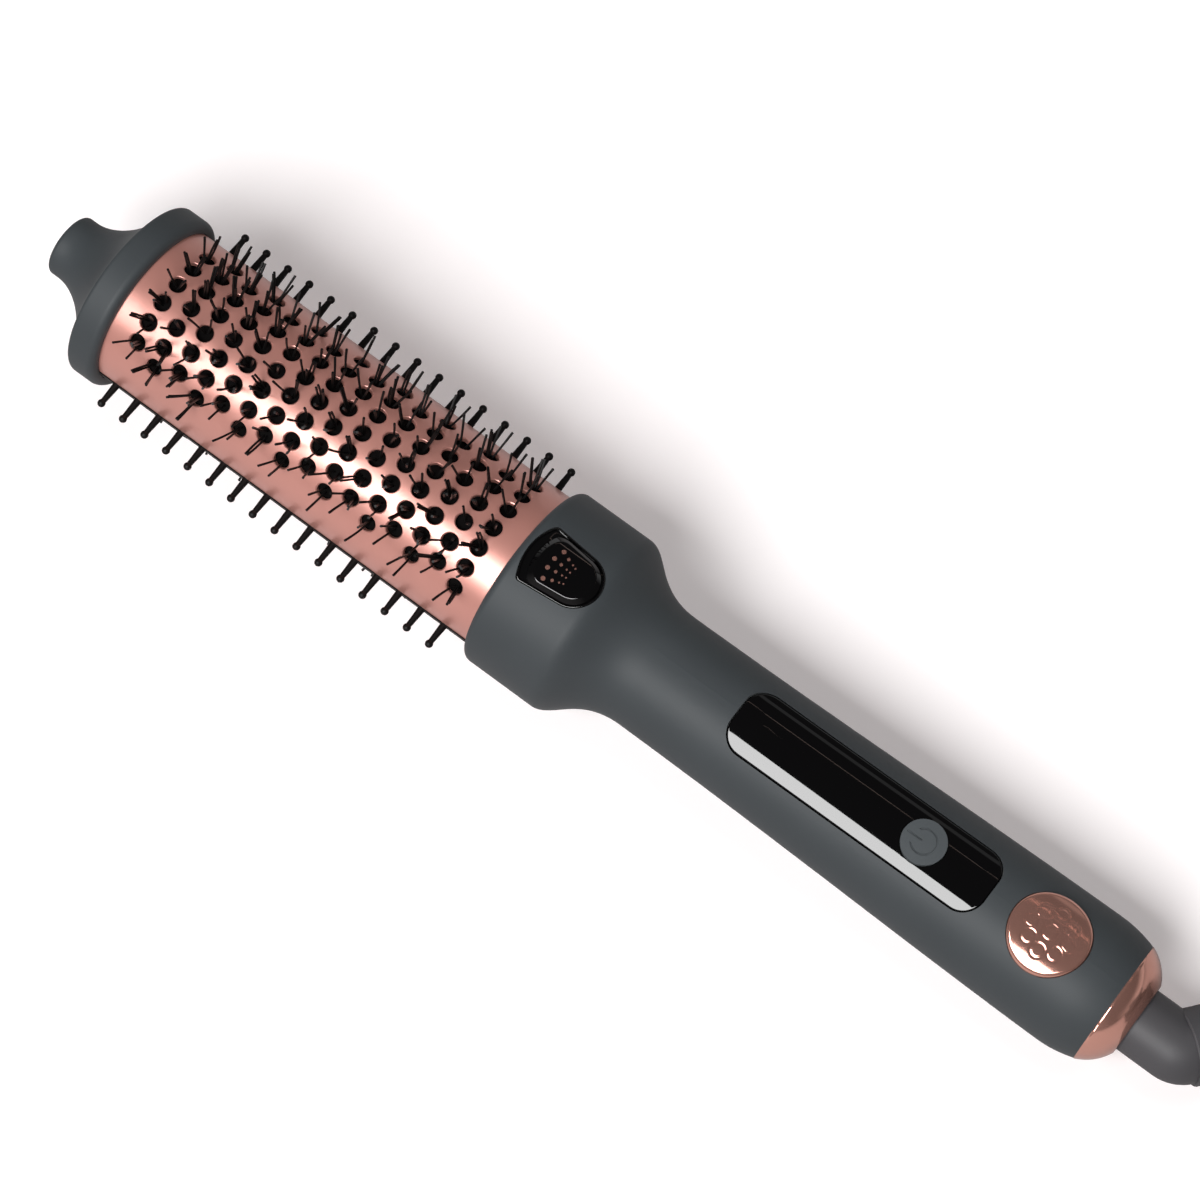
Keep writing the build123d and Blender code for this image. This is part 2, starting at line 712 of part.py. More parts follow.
# Chassis halves in the grip
def make_chassis():
    body = tube(chassis_outer, chassis_inner, chassis_start, chassis_end)
    wide = 30
    upper = body & block(0, sleeve_length, -wide, wide, fit / 2, wide)
    lower = body & block(0, sleeve_length, -wide, wide, -wide, -fit / 2)
    round_bore = rod(chassis_outer - 0.5, chassis_start, chassis_end)
    screws = []
    for x in (chassis_start + 5.5, panel_start + panel_length + 3.9):
        for y in (-screw_row, screw_row):
            upper += post(2.0, x, y, fit / 2, 12) & round_bore
            lower += post(2.0, x, y, -12, -fit / 2) & round_bore
            lower -= post(0.95, x, y, -12, 0)
            lower -= post(1.6, x, y, -15, screw_seat)
            upper -= post(0.93, x, y, 0, 3.4)
            shank = post(0.88, x, y, screw_seat - 0.5, 3.3)
            screws.append(shank + post(1.4, x, y, screw_seat - 0.95, screw_seat - fit))
    rail_x = (panel_start + 1.5, panel_start + panel_length - 1.5)
    for side in (-1, 1):
        y0, y1 = sorted((side * (main_board_half - 1.4), side * (main_board_half + 0.7)))
        lower += block(*rail_x, y0, y1, main_board_bottom - 1.7, main_board_bottom - fit)
        y0, y1 = sorted((side * (display_board_half - 1.0), side * (display_board_half + 1.0)))
        upper += block(*rail_x, y0, y1, display_board_top + fit, 6.6)
    window = module_half + 0.7
    upper -= block(panel_start + 7.6, panel_start + 37.6, -window, window, 6, 20)
    upper -= post(button_radius + button_gap, button_x, 0, display_board_top, 20)
    for x in (chassis_start + 10.0, chassis_start + 18.0):
        half = chassis_inner - 5.1
        lower += block(x, x + 1.5, -half, half, -chassis_inner - 0.5, generator_floor - fit)
    for x in board_screw_x:
        lower += post(2.2, x, 0, -chassis_inner - 0.5, main_board_bottom - fit)
        lower -= post(0.95, x, 0, screw_seat - 0.2, 0)
    keep("chassis_upper", upper)
    keep("chassis_lower", lower)
    group("chassis_screws", screws)


def wire(radius, bend, points):
    path = FilletPolyline(*points, radius=bend)
    return sweep(Plane(origin=path @ 0, z_dir=path % 0) * Circle(radius), path=path)


# Boards and what they carry
def make_electronics(heater_end, plate_top):
    b0, b1 = panel_start - 2.2, panel_start + panel_length + 1.4
    top, bottom = main_board_top, main_board_bottom
    board = block(b0, b1, -main_board_half, main_board_half, bottom, top)
    screws = []
    for x in board_screw_x:
        board -= post(1.05, x, 0, bottom - 1, top + 1)
        screws.append(post(0.9, x, 0, screw_seat, top + 0.5) + post(1.8, x, 0, top + fit, top + 1.0))
    keep("main_board", board)
    group("board_screws", screws)
    keep("film_capacitor", block(b0 + 13, b0 + 26, -4.2, 4.2, part_floor, bottom - fit))
    side = main_board_half - 1.2
    triac = block(b0 + 12, b0 + 22, side - 4.6, side, top + fit, top + 4.3)
    capacitor = rod(2.1, b0 + 24, b0 + 35, side - 3.2, top + 2.1 + fit)
    fuse = rod(1.5, b0 + 12, b0 + 21, 2.4 - side, top + 1.5 + fit)
    chip = block(b0 + 38, b0 + 45, -3.5, 3.5, top + fit, top + 1.3)
    group("board_parts", [triac, capacitor, fuse, chip])
    header = block(b1 - 8, b1 - 5.5, -5, 5, top + fit, display_board_bottom - fit)
    keep("board_header", header)

    d0, d1 = panel_start + 2.0, panel_start + panel_length - 3.0
    half = display_board_half
    keep("display_board", block(d0, d1, -half, half, display_board_bottom, display_board_top))
    keep(
        "display_module",
        block(
            panel_start + 8.6, panel_start + 36.6, -module_half, module_half,
            display_board_top + fit, module_top,
        ),
    )
    base = display_board_top + fit
    body_top = base + 0.557 * (switch_top - base)
    switch = block(button_x - 3, button_x + 3, -3, 3, base, body_top)
    switch += post(1.7, button_x, 0, body_top - 0.1, switch_top)
    keep("tactile_switch", switch)

    g0, g1 = chassis_start + 9.0, chassis_start + 21.0
    keep("ion_generator", block(g0, g1, -4.6, 4.6, generator_floor, -1.6))
    n0 = holder_flange + 3 + fit
    needle = block(n0, n0 + 5.5, -2.6, 2.6, chassis_inner + 1.6, 17.2)
    needle += post(0.45, needle_x, 0, 17.0, collar_radius - outlet_depth - 0.4)
    keep("ion_needle_block", needle)

    lift = top + 0.95 + fit
    leads = []
    for y in (-heater_lead_row, heater_lead_row):
        route = [(heater_end + fit, y, 0), (g1 - 6, y, 0), (b0 + 1.5, y, lift), (b0 + 5, y, lift)]
        leads.append(wire(0.9, 2.2, route))
    group("heater_leads", leads)
    z, bead_end, low = plate_top + 1.0, heater_end - 13 + fit, top + 0.5 + fit
    sensor = []
    for y in (1.3, 2.4):
        route = [
            (bead_end, y, z),
            (holder_face + 6, y, z),
            (holder_face + 14, y, 3.4),
            (b0 - 5, y, 3.4),
            (b0 + 2, y, low),
            (b0 + 4.5, y, low),
        ]
        sensor.append(wire(0.45, 1.5, route))
    group("sensor_leads", sensor)
    rise = n0 + 8.4
    route = [
        (g0 - fit, 0, -4.2),
        (g0 - 6, 0, -4.2),
        (rise + 5, 0, 3.4),
        (rise, 0, 6.5),
        (rise, 0, 14.2),
        (n0 + 5.5 + fit, 0, 14.2),
    ]
    keep("ion_lead", wire(0.6, 1.3, route))
    return b1


# Swivel at the tail: housing, neck, slip rings and their contacts
def make_swivel(board_end):
    s0 = board_end + 4.6
    bearing = 1.8
    cavity0, cavity1 = s0 + bearing, s0 + bearing + 10.6
    thrust0 = cavity1 + bearing
    thrust1 = thrust0 + 3.0
    end = sleeve_length - 2.2
    outer = chassis_inner - 0.15
    bearing_bore = stem_radius + swivel_fit
    housing = lathe(
        (s0, bearing_bore),
        (s0, outer),
        (end, outer),
        (end, neck_radius + swivel_fit),
        (thrust1 + swivel_fit, neck_radius + swivel_fit),
        (thrust1 + swivel_fit, thrust_radius + 0.1),
        (thrust0 - swivel_fit, thrust_radius + 0.1),
        (thrust0 - swivel_fit, bearing_bore),
        (cavity1, bearing_bore),
        (cavity1, 7.2),
        (cavity0, 7.2),
        (cavity0, bearing_bore),
    )
    wide = 30
    keep("swivel_housing_upper", housing & block(0, 300, -wide, wide, fit / 2, wide))
    keep("swivel_housing_lower", housing & block(0, 300, -wide, wide, -wide, -fit / 2))
    rings, contacts, leads = [], [], []
    for k, x in enumerate((cavity0 + 1.8, cavity0 + 6.6)):
        rings.append(tube(stem_radius + 0.7, stem_radius + 0.02, x, x + 2.2))
        z0 = stem_radius + 0.7 + 0.1
        side = 1 - 2 * k
        leaf = block(x + 0.2, x + 2.0, -2.4, 2.4, *sorted((side * z0, side * (z0 + 0.4))))
        leaf += block(x + 0.2, x + 2.0, -0.8, 0.8, *sorted((side * (z0 + 0.3), side * 7.0)))
        contacts.append(leaf)
    group("slip_rings", rings)
    group("slip_contacts", contacts)
    low = main_board_top + 0.85 + fit
    for y in (-mains_lead_row, mains_lead_row):
        route = [
            (board_end - 3, y, low),
            (board_end + 1, y, low),
            (s0 - 1.6, y, mains_lead_height),
            (s0 - fit, y, mains_lead_height),
        ]
        leads.append(wire(0.8, 0.9, route))
    group("mains_leads", leads)

    ring_arc = ThreePointArc(
        (sleeve_length, 0, ring_radius),
        (sleeve_length + 0.62 * ring_length, 0, 0.57 * ring_radius + 0.43 * ring_mouth_radius),
        (brush_end, 0, ring_mouth_radius),
    )
    spigot = grip_bore - 0.1
    ring = turned(
        [ring_arc],
        (brush_end, ring_bore),
        (end + 0.15, ring_bore),
        (end + 0.15, outer + 0.1),
        (chassis_end + fit, outer + 0.1),
        (chassis_end + fit, spigot),
        (sleeve_length, spigot),
    )
    keep("end_ring", ring)
    return s0, thrust0, thrust1


def rest_tilt():
    """How far the tip is raised where the last bristles and the tail both touch the table."""
    bristles = [(v.X, v.Z) for v in nodes["bristles_lower_back"].vertices()]
    tail_arc = sleeve_outline()[-1]
    tail = [((tail_arc @ (n / 60)).X, -(tail_arc @ (n / 60)).Z) for n in range(61)]

    def lowest(places, angle):
        return min(z * math.cos(angle) - x * math.sin(angle) for x, z in places)

    low, high = 0.0, math.radians(10)
    for _ in range(50):
        middle = (low + high) / 2
        if lowest(bristles, middle) < lowest(tail, middle):
            low = middle
        else:
            high = middle
    return math.degrees(low), lowest(tail, low)


def biarc(p0, t0, p1, t1):
    """Two arcs that leave p0 along t0 and reach p1 along t1, with equal tangents."""
    v, t = p1 - p0, t0 + t1
    a, b, c = 2 - 2 * t0.dot(t1), 2 * v.dot(t), -v.dot(v)
    reach = -c / b if abs(a) < 1e-9 else (-b + math.sqrt(b * b - 4 * a * c)) / (2 * a)
    q0, q1 = p0 + t0 * reach, p1 - t1 * reach
    joint = (q0 + q1) * 0.5
    return [TangentArc(p0, joint, tangent=t0), TangentArc(joint, p1, tangent=(q1 - q0).normalized())]


def hank_path(start):
    """The hank's centreline from start, where it heads along +X.

    The runs are drawn in at the waist and joined by folds of half a turn. The layers spiral in
    and out by turns, with a climb along a run between them.
    """
    ahead = Vector(1, 0, 0)
    half_step = hank_step / 2
    outer = hank_fold_radius + (hank_folds_per_layer - 1) * half_step
    middle = start + Vector(cord_diameter + hank_run / 2, -outer, 0)
    edges = [Line(start, start + ahead * cord_diameter)]
    here = start + ahead * cord_diameter
    heading = ahead
    radii = [outer - n * half_step for n in range(hank_folds_per_layer)]
    fold = 0
    for layer in range(hank_layers):
        order = radii if layer % 2 == 0 else radii[::-1]
        for n, radius in enumerate(order):
            climb = cord_diameter + hank_gap if layer and n == 0 else 0
            side = 1 if heading.X > 0 else -1
            waist = Vector(middle.X, here.Y - side * hank_waist, here.Z + climb / 2)
            there = Vector(middle.X + side * hank_run / 2, here.Y, here.Z + climb)
            edges += biarc(here, heading, waist, heading) + biarc(waist, heading, there, heading)
            far = there + Vector(side * radius, -side * radius, 0)
            here = there + Vector(0, -side * 2 * radius, 0)
            edges.append(ThreePointArc(there, far, here))
            heading = heading * -1
            fold += 1
    edges.append(Line(here, here + heading * cord_diameter))
    return edges, middle, here + heading * cord_diameter


def own_gap(edges):
    """The least gap of a tube to itself, measured between points along it."""
    points, along, total = [], [], 0.0
    for e in edges:
        count = max(2, round(e.length / 1.5))
        for n in range(count):
            points.append(e @ (n / count))
            along.append(total + e.length * n / count)
        total += e.length
    least = 1e9
    for i, p in enumerate(points):
        for j in range(i + 1, len(points)):
            if along[j] - along[i] > 4 * cord_diameter:
                least = min(least, (p - points[j]).length)
    return least - cord_diameter, total


def tube_along(edges, radius):
    path = Wire(edges)
    start = Plane(origin=path @ 0, z_dir=path % 0)
    solid = sweep(start * Circle(radius), path=path)
    share = solid.volume / (math.pi * radius**2 * path.length)
    print(f"tube of {path.length:.1f} mm, volume over section times length {share:.4f}")
    return solid


def free_stretch(points):
    """Straight runs joined by arcs as large as the runs allow."""
    radii = []
    for a, b, c in zip(points, points[1:], points[2:]):
        turn = (b - a).get_angle(c - b)
        shorter = min((b - a).length, (c - b).length)
        radii.append(0.45 * shorter / math.tan(math.radians(turn) / 2))
    print("arc radii:", [round(r, 1) for r in radii])
    return list(FilletPolyline(*points, radius=radii).edges())


def make_plug():
    """The plug, heading +X, with the end of its strain relief at the origin."""
    x0, x1 = plug_relief_length, plug_relief_length + plug_length
    w = plug_width / 2
    half = [(x0, 6.5), (x0 + 4, 9.5), (x1 - 11, w), (x1, w)]
    outline = Polyline(*half, *[(x, -y) for x, y in half[::-1]], close=True)
    body = Pos(0, 0, -plug_thickness / 2) * extrude(make_face(outline), plug_thickness)
    body = fillet(body.edges().filter_by(Axis.Z), 2.0)
    body = fillet(body.edges().group_by(Axis.Z)[-1] + body.edges().group_by(Axis.Z)[0], 1.8)
    profile = [(0, 0), (0, cord_diameter / 2 + 1.1)]
    ribs = 3
    for n in range(ribs):
        r = cord_diameter / 2 + 1.5 + 0.5 * n
        x = 1.4 + n * 2.9
        profile += [(x, r), (x + 1.6, r + 0.2), (x + 1.6, r - 0.7), (x + 2.6, r - 0.6)]
    profile += [(x0 + 1, cord_diameter / 2 + 2.6), (x0 + 1, 0)]
    body += lathe(*profile)
    pins = []
    for side in (-1, 1):
        y = side * pin_spacing / 2
        bare = x1 + plug_pin_length - plug_pin_bare
        tip = x1 + plug_pin_length
        body += rod(plug_pin_sleeve_radius, x1 - 1, bare, y)
        body -= rod(plug_pin_core_radius + 0.03, x1 - 7, bare + 1, y)
        pin = rod(plug_pin_core_radius, x1 - 6.9, bare + 0.1, y)
        pin += rod(plug_pin_radius, bare, tip - plug_pin_radius, y)
        pin += Pos(tip - plug_pin_radius, y, 0) * Sphere(plug_pin_radius)
        pins.append(pin)
    return one(body), Compound(children=[one(p) for p in pins])


def make_tie(middle, low, high):
    """A strap round the hank's waist."""
    outer = hank_fold_radius + (hank_folds_per_layer - 1) * hank_step / 2
    half = outer - hank_waist + cord_diameter / 2 + 0.5
    z0, z1 = low - 0.25, high + 0.25
    inside = RectangleRounded(2 * half, z1 - z0, 2.6)
    outside = RectangleRounded(2 * half + 2 * tie_thickness, z1 - z0 + 2 * tie_thickness, 3.6)
    yz = Plane(origin=(middle.X - 4.5, middle.Y, (z0 + z1) / 2), x_dir=(0, 1, 0), z_dir=(1, 0, 0))
    return extrude(yz * (outside - inside), 9.0)


def make_relief():
    """The strain relief from the end of the neck, heading +X, ribbed and tapering."""
    tip = relief_length
    base = relief_base_radius
    shelf = relief_base_length
    profile = [(0, 0), (0, base - 0.3), (0.3, base), (shelf, base), (shelf + 0.6, neck_radius - 0.6)]
    pitch = (tip - shelf - 1.4) / relief_rib_count
    for n in range(relief_rib_count):
        share = n / (relief_rib_count - 1)
        r = neck_radius + 0.3 + share * (relief_tip_radius + 0.1 - neck_radius - 0.3)
        x = shelf + 1.0 + n * pitch
        profile += [(x, r - 1.0), (x + 0.25, r), (x + pitch * 0.6, r - 0.1), (x + pitch * 0.75, r - 1.0)]
    profile += [(tip - 0.2, relief_tip_radius - 0.4), (tip, relief_tip_radius - 0.6), (tip, 0)]
    return lathe(*profile)


def make_elbow(radius, start, end, before, after):
    """A tight elbow: its outside is turned about the bend's centre, its inside is mitred."""
    half_bend = math.radians(before.get_angle(after)) / 2
    normal = before.cross(after).normalized()
    inward = normal.cross(before)
    centre = start + inward * neck_bend_radius
    first = Plane(origin=start, x_dir=-inward, z_dir=before)
    last = Plane(origin=end, x_dir=-normal.cross(after), z_dir=after)
    outside = Pos(2 * radius - neck_bend_radius, 0) * Rectangle(4 * radius, 4 * radius)
    outer_half = Circle(radius) & outside
    inner_half = Circle(radius) - outside
    mitre = (radius - neck_bend_radius) * math.tan(half_bend)
    elbow = revolve(first * outer_half, Axis(centre, normal), math.degrees(2 * half_bend))
    elbow += extrude(first * inner_half, mitre)
    return elbow + extrude(last * inner_half, -mitre)


# Build the brush, then tilt it as it lies
make_tip()
make_shells()
make_strips()
make_bristles()
heater_end, plate_top = make_heater()
make_holder()
turned_with_barrel = [
    "tip_insert", "tip_screws", "barrel_shell_upper", "barrel_shell_lower",
    "pin_strip_left", "pin_strip_right", "bristles_upper_front", "bristles_upper_back",
    "bristles_lower_front", "bristles_lower_back", "heat_spreader_upper",
    "heat_spreader_lower", "ceramic_heater", "mica_sheets", "thermistor", "thermal_fuse",
    "barrel_holder", "barrel_screws",
]
for name in turned_with_barrel:
    nodes[name] = Rot(barrel_roll, 0, 0) * nodes[name]
make_sleeve()
make_covers()
make_chassis()
board_end = make_electronics(heater_end, plate_top)
stem_start, thrust0, thrust1 = make_swivel(board_end)

tilt, low = rest_tilt()
turn = Rot(0, tilt, 0)
yaw, dip = math.radians(cord_yaw), math.radians(cord_dip)
way = Vector(math.cos(dip) * math.cos(yaw), math.cos(dip) * math.sin(yaw), -math.sin(dip))
way_local = (turn.inverse() * Pos(*way)).position
axis = Vector(1, 0, 0)
bend = math.radians(axis.get_angle(way_local))
bend_start = Vector(brush_end + neck_straight, 0, 0)
neck_end = bend_start + (axis + way_local) * (neck_bend_radius * math.tan(bend / 2))
bend_ends = (bend_start, neck_end, axis, way_local)
neck = rod(neck_radius, thrust1 - 0.5, bend_start.X) + make_elbow(neck_radius, *bend_ends)
neck += rod(thrust_radius, thrust0, thrust1) + rod(stem_radius, stem_start, thrust0 + 0.5)
keep("swivel_neck", neck)
relief = Plane(origin=neck_end, z_dir=way_local) * Rot(0, -90, 0) * make_relief()
room = neck_radius + fit
relief -= rod(room, brush_end, bend_start.X) + make_elbow(room, *bend_ends)

# Put the origin under the middle of the brush, on the table
flat = {name: turn * nodes[name] for name in ("tip_cap", "swivel_neck")}
left = flat["tip_cap"].bounding_box().min.X
right = flat["swivel_neck"].bounding_box().max.X
lie = Pos(-(left + right) / 2, 0, -low) * turn
print(f"tilt {tilt:.3f} degrees, lowest points {low:.3f}")
placed = {name: lie * shape for name, shape in nodes.items()}
placed["strain_relief"] = lie * one(relief)

# Cord, hank and plug, from the tip of the relief
tip_of_relief = (lie * Pos(*(neck_end + way_local * relief_length))).position
exit_x, exit_y, exit_z = tip_of_relief.X, tip_of_relief.Y, tip_of_relief.Z
print(f"cord leaves the relief at {exit_x:.2f} {exit_y:.2f} {exit_z:.2f}, heading {way}")
ground = cord_diameter / 2 + tie_thickness + 0.3
lead = [
    Vector(exit_x + x, exit_y + y, ground if h is None else exit_z + h)
    for (x, y), h in zip(lead_points, lead_heights)
]
lead[1] = lead[0] + way * (lead[1] - lead[0]).length
lead_edges = free_stretch(lead)
hank_edges, hank_middle, hank_end = hank_path(lead[-1])
gap, hank_length = own_gap(hank_edges)
print(f"hank: {len(hank_edges)} arcs and runs, {hank_length:.0f} mm, least gap to itself {gap:.2f} mm")
ending = [hank_end + Vector(*p) for p in end_points]
end_edges = free_stretch(ending)
placed["cord"] = one(tube_along(lead_edges, cord_diameter / 2))
placed["cord_hank"] = one(tube_along(hank_edges, cord_diameter / 2))
placed["cord_end"] = one(tube_along(end_edges, cord_diameter / 2))
plug_body, plug_pins = make_plug()
plug_place = Pos(*ending[-1])
placed["plug_body"] = plug_place * plug_body
placed["plug_pins"] = plug_place * plug_pins
hank_low, hank_high = ground - cord_diameter / 2, hank_end.Z + cord_diameter / 2
placed["cord_tie"] = one(make_tie(hank_middle, hank_low, hank_high))
print("hank middle", hank_middle, "plug relief end", ending[-1])
print("swivel axis through", (lie * Pos(brush_end, 0, 0)).position)
print("swivel axis along", (turn * Pos(1, 0, 0)).position)
print("button", (lie * Pos(button_x, 0, outer_radius(button_x) + button_proud)).position)

os.makedirs("parts", exist_ok=True)
for name, shape in placed.items():
    export_step(shape, f"parts/{name}.step")
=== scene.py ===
"""A heated round brush lying on a table: looks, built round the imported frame."""

import json
import math
import random

import bpy
from mathutils import Matrix, Vector
from mathutils.kdtree import KDTree

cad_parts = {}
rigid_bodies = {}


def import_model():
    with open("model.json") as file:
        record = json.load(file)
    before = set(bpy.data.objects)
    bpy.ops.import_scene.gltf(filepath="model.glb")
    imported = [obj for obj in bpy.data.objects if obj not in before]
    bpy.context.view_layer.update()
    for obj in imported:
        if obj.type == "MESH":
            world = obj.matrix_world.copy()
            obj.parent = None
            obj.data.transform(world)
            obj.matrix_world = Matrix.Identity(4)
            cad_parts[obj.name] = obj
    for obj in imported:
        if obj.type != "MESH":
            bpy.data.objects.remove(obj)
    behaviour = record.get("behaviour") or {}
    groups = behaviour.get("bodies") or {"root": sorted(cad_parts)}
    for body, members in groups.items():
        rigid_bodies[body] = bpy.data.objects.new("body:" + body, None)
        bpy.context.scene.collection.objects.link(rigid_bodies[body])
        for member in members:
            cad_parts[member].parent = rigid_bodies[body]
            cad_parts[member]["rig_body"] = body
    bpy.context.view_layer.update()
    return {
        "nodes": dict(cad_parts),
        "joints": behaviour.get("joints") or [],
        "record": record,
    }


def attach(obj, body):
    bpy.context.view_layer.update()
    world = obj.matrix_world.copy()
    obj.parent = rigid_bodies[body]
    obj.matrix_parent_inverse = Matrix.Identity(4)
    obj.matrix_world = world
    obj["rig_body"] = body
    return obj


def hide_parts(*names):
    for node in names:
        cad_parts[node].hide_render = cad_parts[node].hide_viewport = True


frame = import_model()

mm = 0.001
record = frame["record"]

# The brush's own axes: x = 0 at the collar's front edge, the tip towards -X, controls at +Z
brush_end = 158.8 * mm
swivel = next(j for j in frame["joints"] if j["name"] == "cord_swivel")
tilt = math.asin(-swivel["axis"][2])
lie = (
    Matrix.Translation(Vector(swivel["pos_m"]))
    @ Matrix.Rotation(tilt, 4, "Y")
    @ Matrix.Translation(Vector((-brush_end, 0, 0)))
)


# Camera: it looks down on the brush, turned so that the brush falls to the right
view_side = math.radians(10.47)
view_lean = math.radians(15.13)
view_turn = math.radians(35.92)
view_distance = 0.8
view_aim = Vector((16.54, 5.27, 0)) * mm
focal_pixels = 3770.0
picture_pixels = 1200.0
sensor_width = 36.0


def make_camera():
    back = Vector(
        (
            math.sin(view_side),
            -math.sin(view_lean) * math.cos(view_side),
            math.cos(view_lean) * math.cos(view_side),
        )
    )
    level = (Vector((1, 0, 0)) - back * back.x).normalized()
    rise = back.cross(level)
    right = level * math.cos(view_turn) + rise * math.sin(view_turn)
    up = rise * math.cos(view_turn) - level * math.sin(view_turn)
    place = view_aim + back * view_distance
    axes = Matrix((right, up, back)).transposed().to_4x4()
    lens = bpy.data.cameras.new("view")
    lens.sensor_width = sensor_width
    lens.lens = focal_pixels / picture_pixels * sensor_width
    lens.clip_start = 0.01
    camera = bpy.data.objects.new("view", lens)
    bpy.context.scene.collection.objects.link(camera)
    camera.matrix_world = lie @ Matrix.Translation(place) @ axes
    bpy.context.scene.camera = camera


# Cord: the route from the tip of the strain relief to the plug
cord_diameter = 6 * mm
relief_tip = Vector((159.50, 21.43, 10.10)) * mm
cord_way = Vector((0.60967, 0.78034, -0.13917))
hank_level = 4.3 * mm
lead_first = 16.14 * mm
lead_points = [(25.4, 20.1), (42.6, 20.1)]
hank_run = 90 * mm
hank_fold_radius = 18 * mm
hank_step = 7.5 * mm
hank_layers = 4
hank_folds = 3
hank_waist = 12 * mm
hank_rise = 6.5 * mm
half_run_parts = 4
fold_points = 6
end_points = [
    (14.0, 0, 0),
    (26.8, -3.6, 3.5),
    (36.9, -10.2, 8.5),
    (50.0, -14.4, 10.2),
    (63.9, -14.4, 10.2),
]


def ease(share):
    """How far an S-shaped stretch of two like arcs has gone over, part of the way along."""
    return 2 * share**2 if share < 0.5 else 1 - 2 * (1 - share) ** 2


def hank_points(start):
    """The points of runs drawn in at the waist and of folds of half a turn, layer on layer."""
    points = [start]
    outer = hank_fold_radius + (hank_folds - 1) * hank_step / 2
    middle = start.x + cord_diameter + hank_run / 2
    here, side = start + Vector((cord_diameter, 0, 0)), 1
    points.append(here)
    widen = 1 / math.cos(math.pi / (2 * fold_points))
    radii = [outer - n * hank_step / 2 for n in range(hank_folds)]
    for layer in range(hank_layers):
        for n, radius in enumerate(radii if layer % 2 == 0 else radii[::-1]):
            climb = hank_rise if layer and n == 0 else 0
            for part in range(1, 2 * half_run_parts):
                first_half = part <= half_run_parts
                share = part / half_run_parts if first_half else 2 - part / half_run_parts
                lift = climb / 2 * (ease(share) if first_half else 2 - ease(share))
                across = here.y - side * hank_waist * ease(share)
                along = middle + side * hank_run * (part / (2 * half_run_parts) - 0.5)
                points.append(Vector((along, across, here.z + lift)))
            centre = Vector((middle + side * hank_run / 2, here.y - side * radius, here.z + climb))
            for k in range(fold_points):
                turn = math.pi * (k + 0.5) / fold_points
                out = Vector((math.sin(turn), math.cos(turn), 0)) * side * radius * widen
                points.append(centre + out)
            here = centre - Vector((0, side * radius, 0))
            side = -side
    points.append(here)
    end = here + Vector((side * cord_diameter, 0, 0))
    points.append(end)
    return points, end


def make_cord(tie):
    start = relief_tip
    lead = [start, start + cord_way * lead_first]
    for x, y in lead_points:
        lead.append(Vector((start.x + x * mm, start.y + y * mm, hank_level)))
    hank, end = hank_points(lead[-1])
    ending = [end + Vector(p) * mm for p in end_points]
    points = lead[:-1] + hank + ending
    data = bpy.data.curves.new("cord_line", "CURVE")
    data.dimensions = "3D"
    line = data.splines.new("NURBS")
    line.points.add(len(points) - 1)
    for point, place in zip(line.points, points):
        point.co = (*place, 1)
        point.radius = cord_diameter / 2
    line.order_u = 3
    line.use_endpoint_u = True
    line.resolution_u = 6
    data.bevel_depth = 1.0
    data.bevel_resolution = 4
    data.use_fill_caps = True
    cord = bpy.data.objects.new("cord_line", data)
    bpy.context.scene.collection.objects.link(cord)
    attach(cord, "cord")
    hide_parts("cord", "cord_hank", "cord_end")
    with_it = [frame["nodes"][n] for n in ("strain_relief", "plug_body", "plug_pins")]
    with_it.append(tie)
    return cord


# Materials: each CAD node takes the finish that its slot in the record names
finishes = {
    "soft_grey": dict(
        colour=(0.040, 0.046, 0.050), roughness=0.55, mottle=0.03, grain=2500, bump=0.25,
        sockets={"Specular IOR Level": 0.3, "Sheen Weight": 0.05, "Sheen Roughness": 0.4},
    ),
    "black_plastic": dict(colour=(0.012, 0.012, 0.013), roughness=0.5),
    "gloss_black": dict(
        colour=(0.001, 0.001, 0.0012), roughness=0.04, mottle=0.02, bump=0,
        sockets={"IOR": 1.6},
    ),
    "rose_satin": dict(
        colour=(0.645, 0.29, 0.24), roughness=0.35, metallic=0.58,
        mottle=0.03, grain=4000, bump=0.2,
        sockets={"Coat Weight": 0.5, "Coat Roughness": 0.3, "Coat IOR": 1.7},
    ),
    "rose_polish": dict(
        colour=(0.76, 0.39, 0.31), roughness=0.13, metallic=0.84, mottle=0.02, bump=0
    ),
    "button_grey": dict(
        colour=(0.060, 0.068, 0.073), roughness=0.5, mottle=0.03, grain=2500, bump=0.2,
        sockets={"Specular IOR Level": 0.3},
    ),
    "aluminium": dict(colour=(0.7, 0.7, 0.72), roughness=0.35, metallic=1.0),
    "steel": dict(colour=(0.5, 0.5, 0.52), roughness=0.3, metallic=1.0),
    "brass": dict(colour=(0.65, 0.45, 0.18), roughness=0.25, metallic=1.0),
    "ceramic": dict(colour=(0.8, 0.8, 0.77), roughness=0.3),
    "mica": dict(colour=(0.65, 0.6, 0.48), roughness=0.35, mottle=0.15),
    "board": dict(colour=(0.02, 0.12, 0.05), roughness=0.3),
    "silicone": dict(colour=(0.05, 0.05, 0.055), roughness=0.6),
    "wire_jacket": dict(colour=(0.55, 0.53, 0.5), roughness=0.5),
    "cord_grey": dict(
        colour=(0.056, 0.054, 0.058), roughness=0.5, mottle=0.06, grain=1300, bump=0.9,
        sockets={"Specular IOR Level": 0.35},
    ),
    "heat_nylon": dict(
        colour=(0.005, 0.0045, 0.0045), roughness=0.45, sockets={"Specular IOR Level": 0.2}
    ),
    "pad_black": dict(
        colour=(0.003, 0.0025, 0.0025), roughness=0.8, sockets={"Specular IOR Level": 0.05}
    ),
    "display": dict(colour=(0.02, 0.02, 0.025), roughness=0.2),
}
gloss_swing = 0.04
thread_pitch = 1.0 * mm
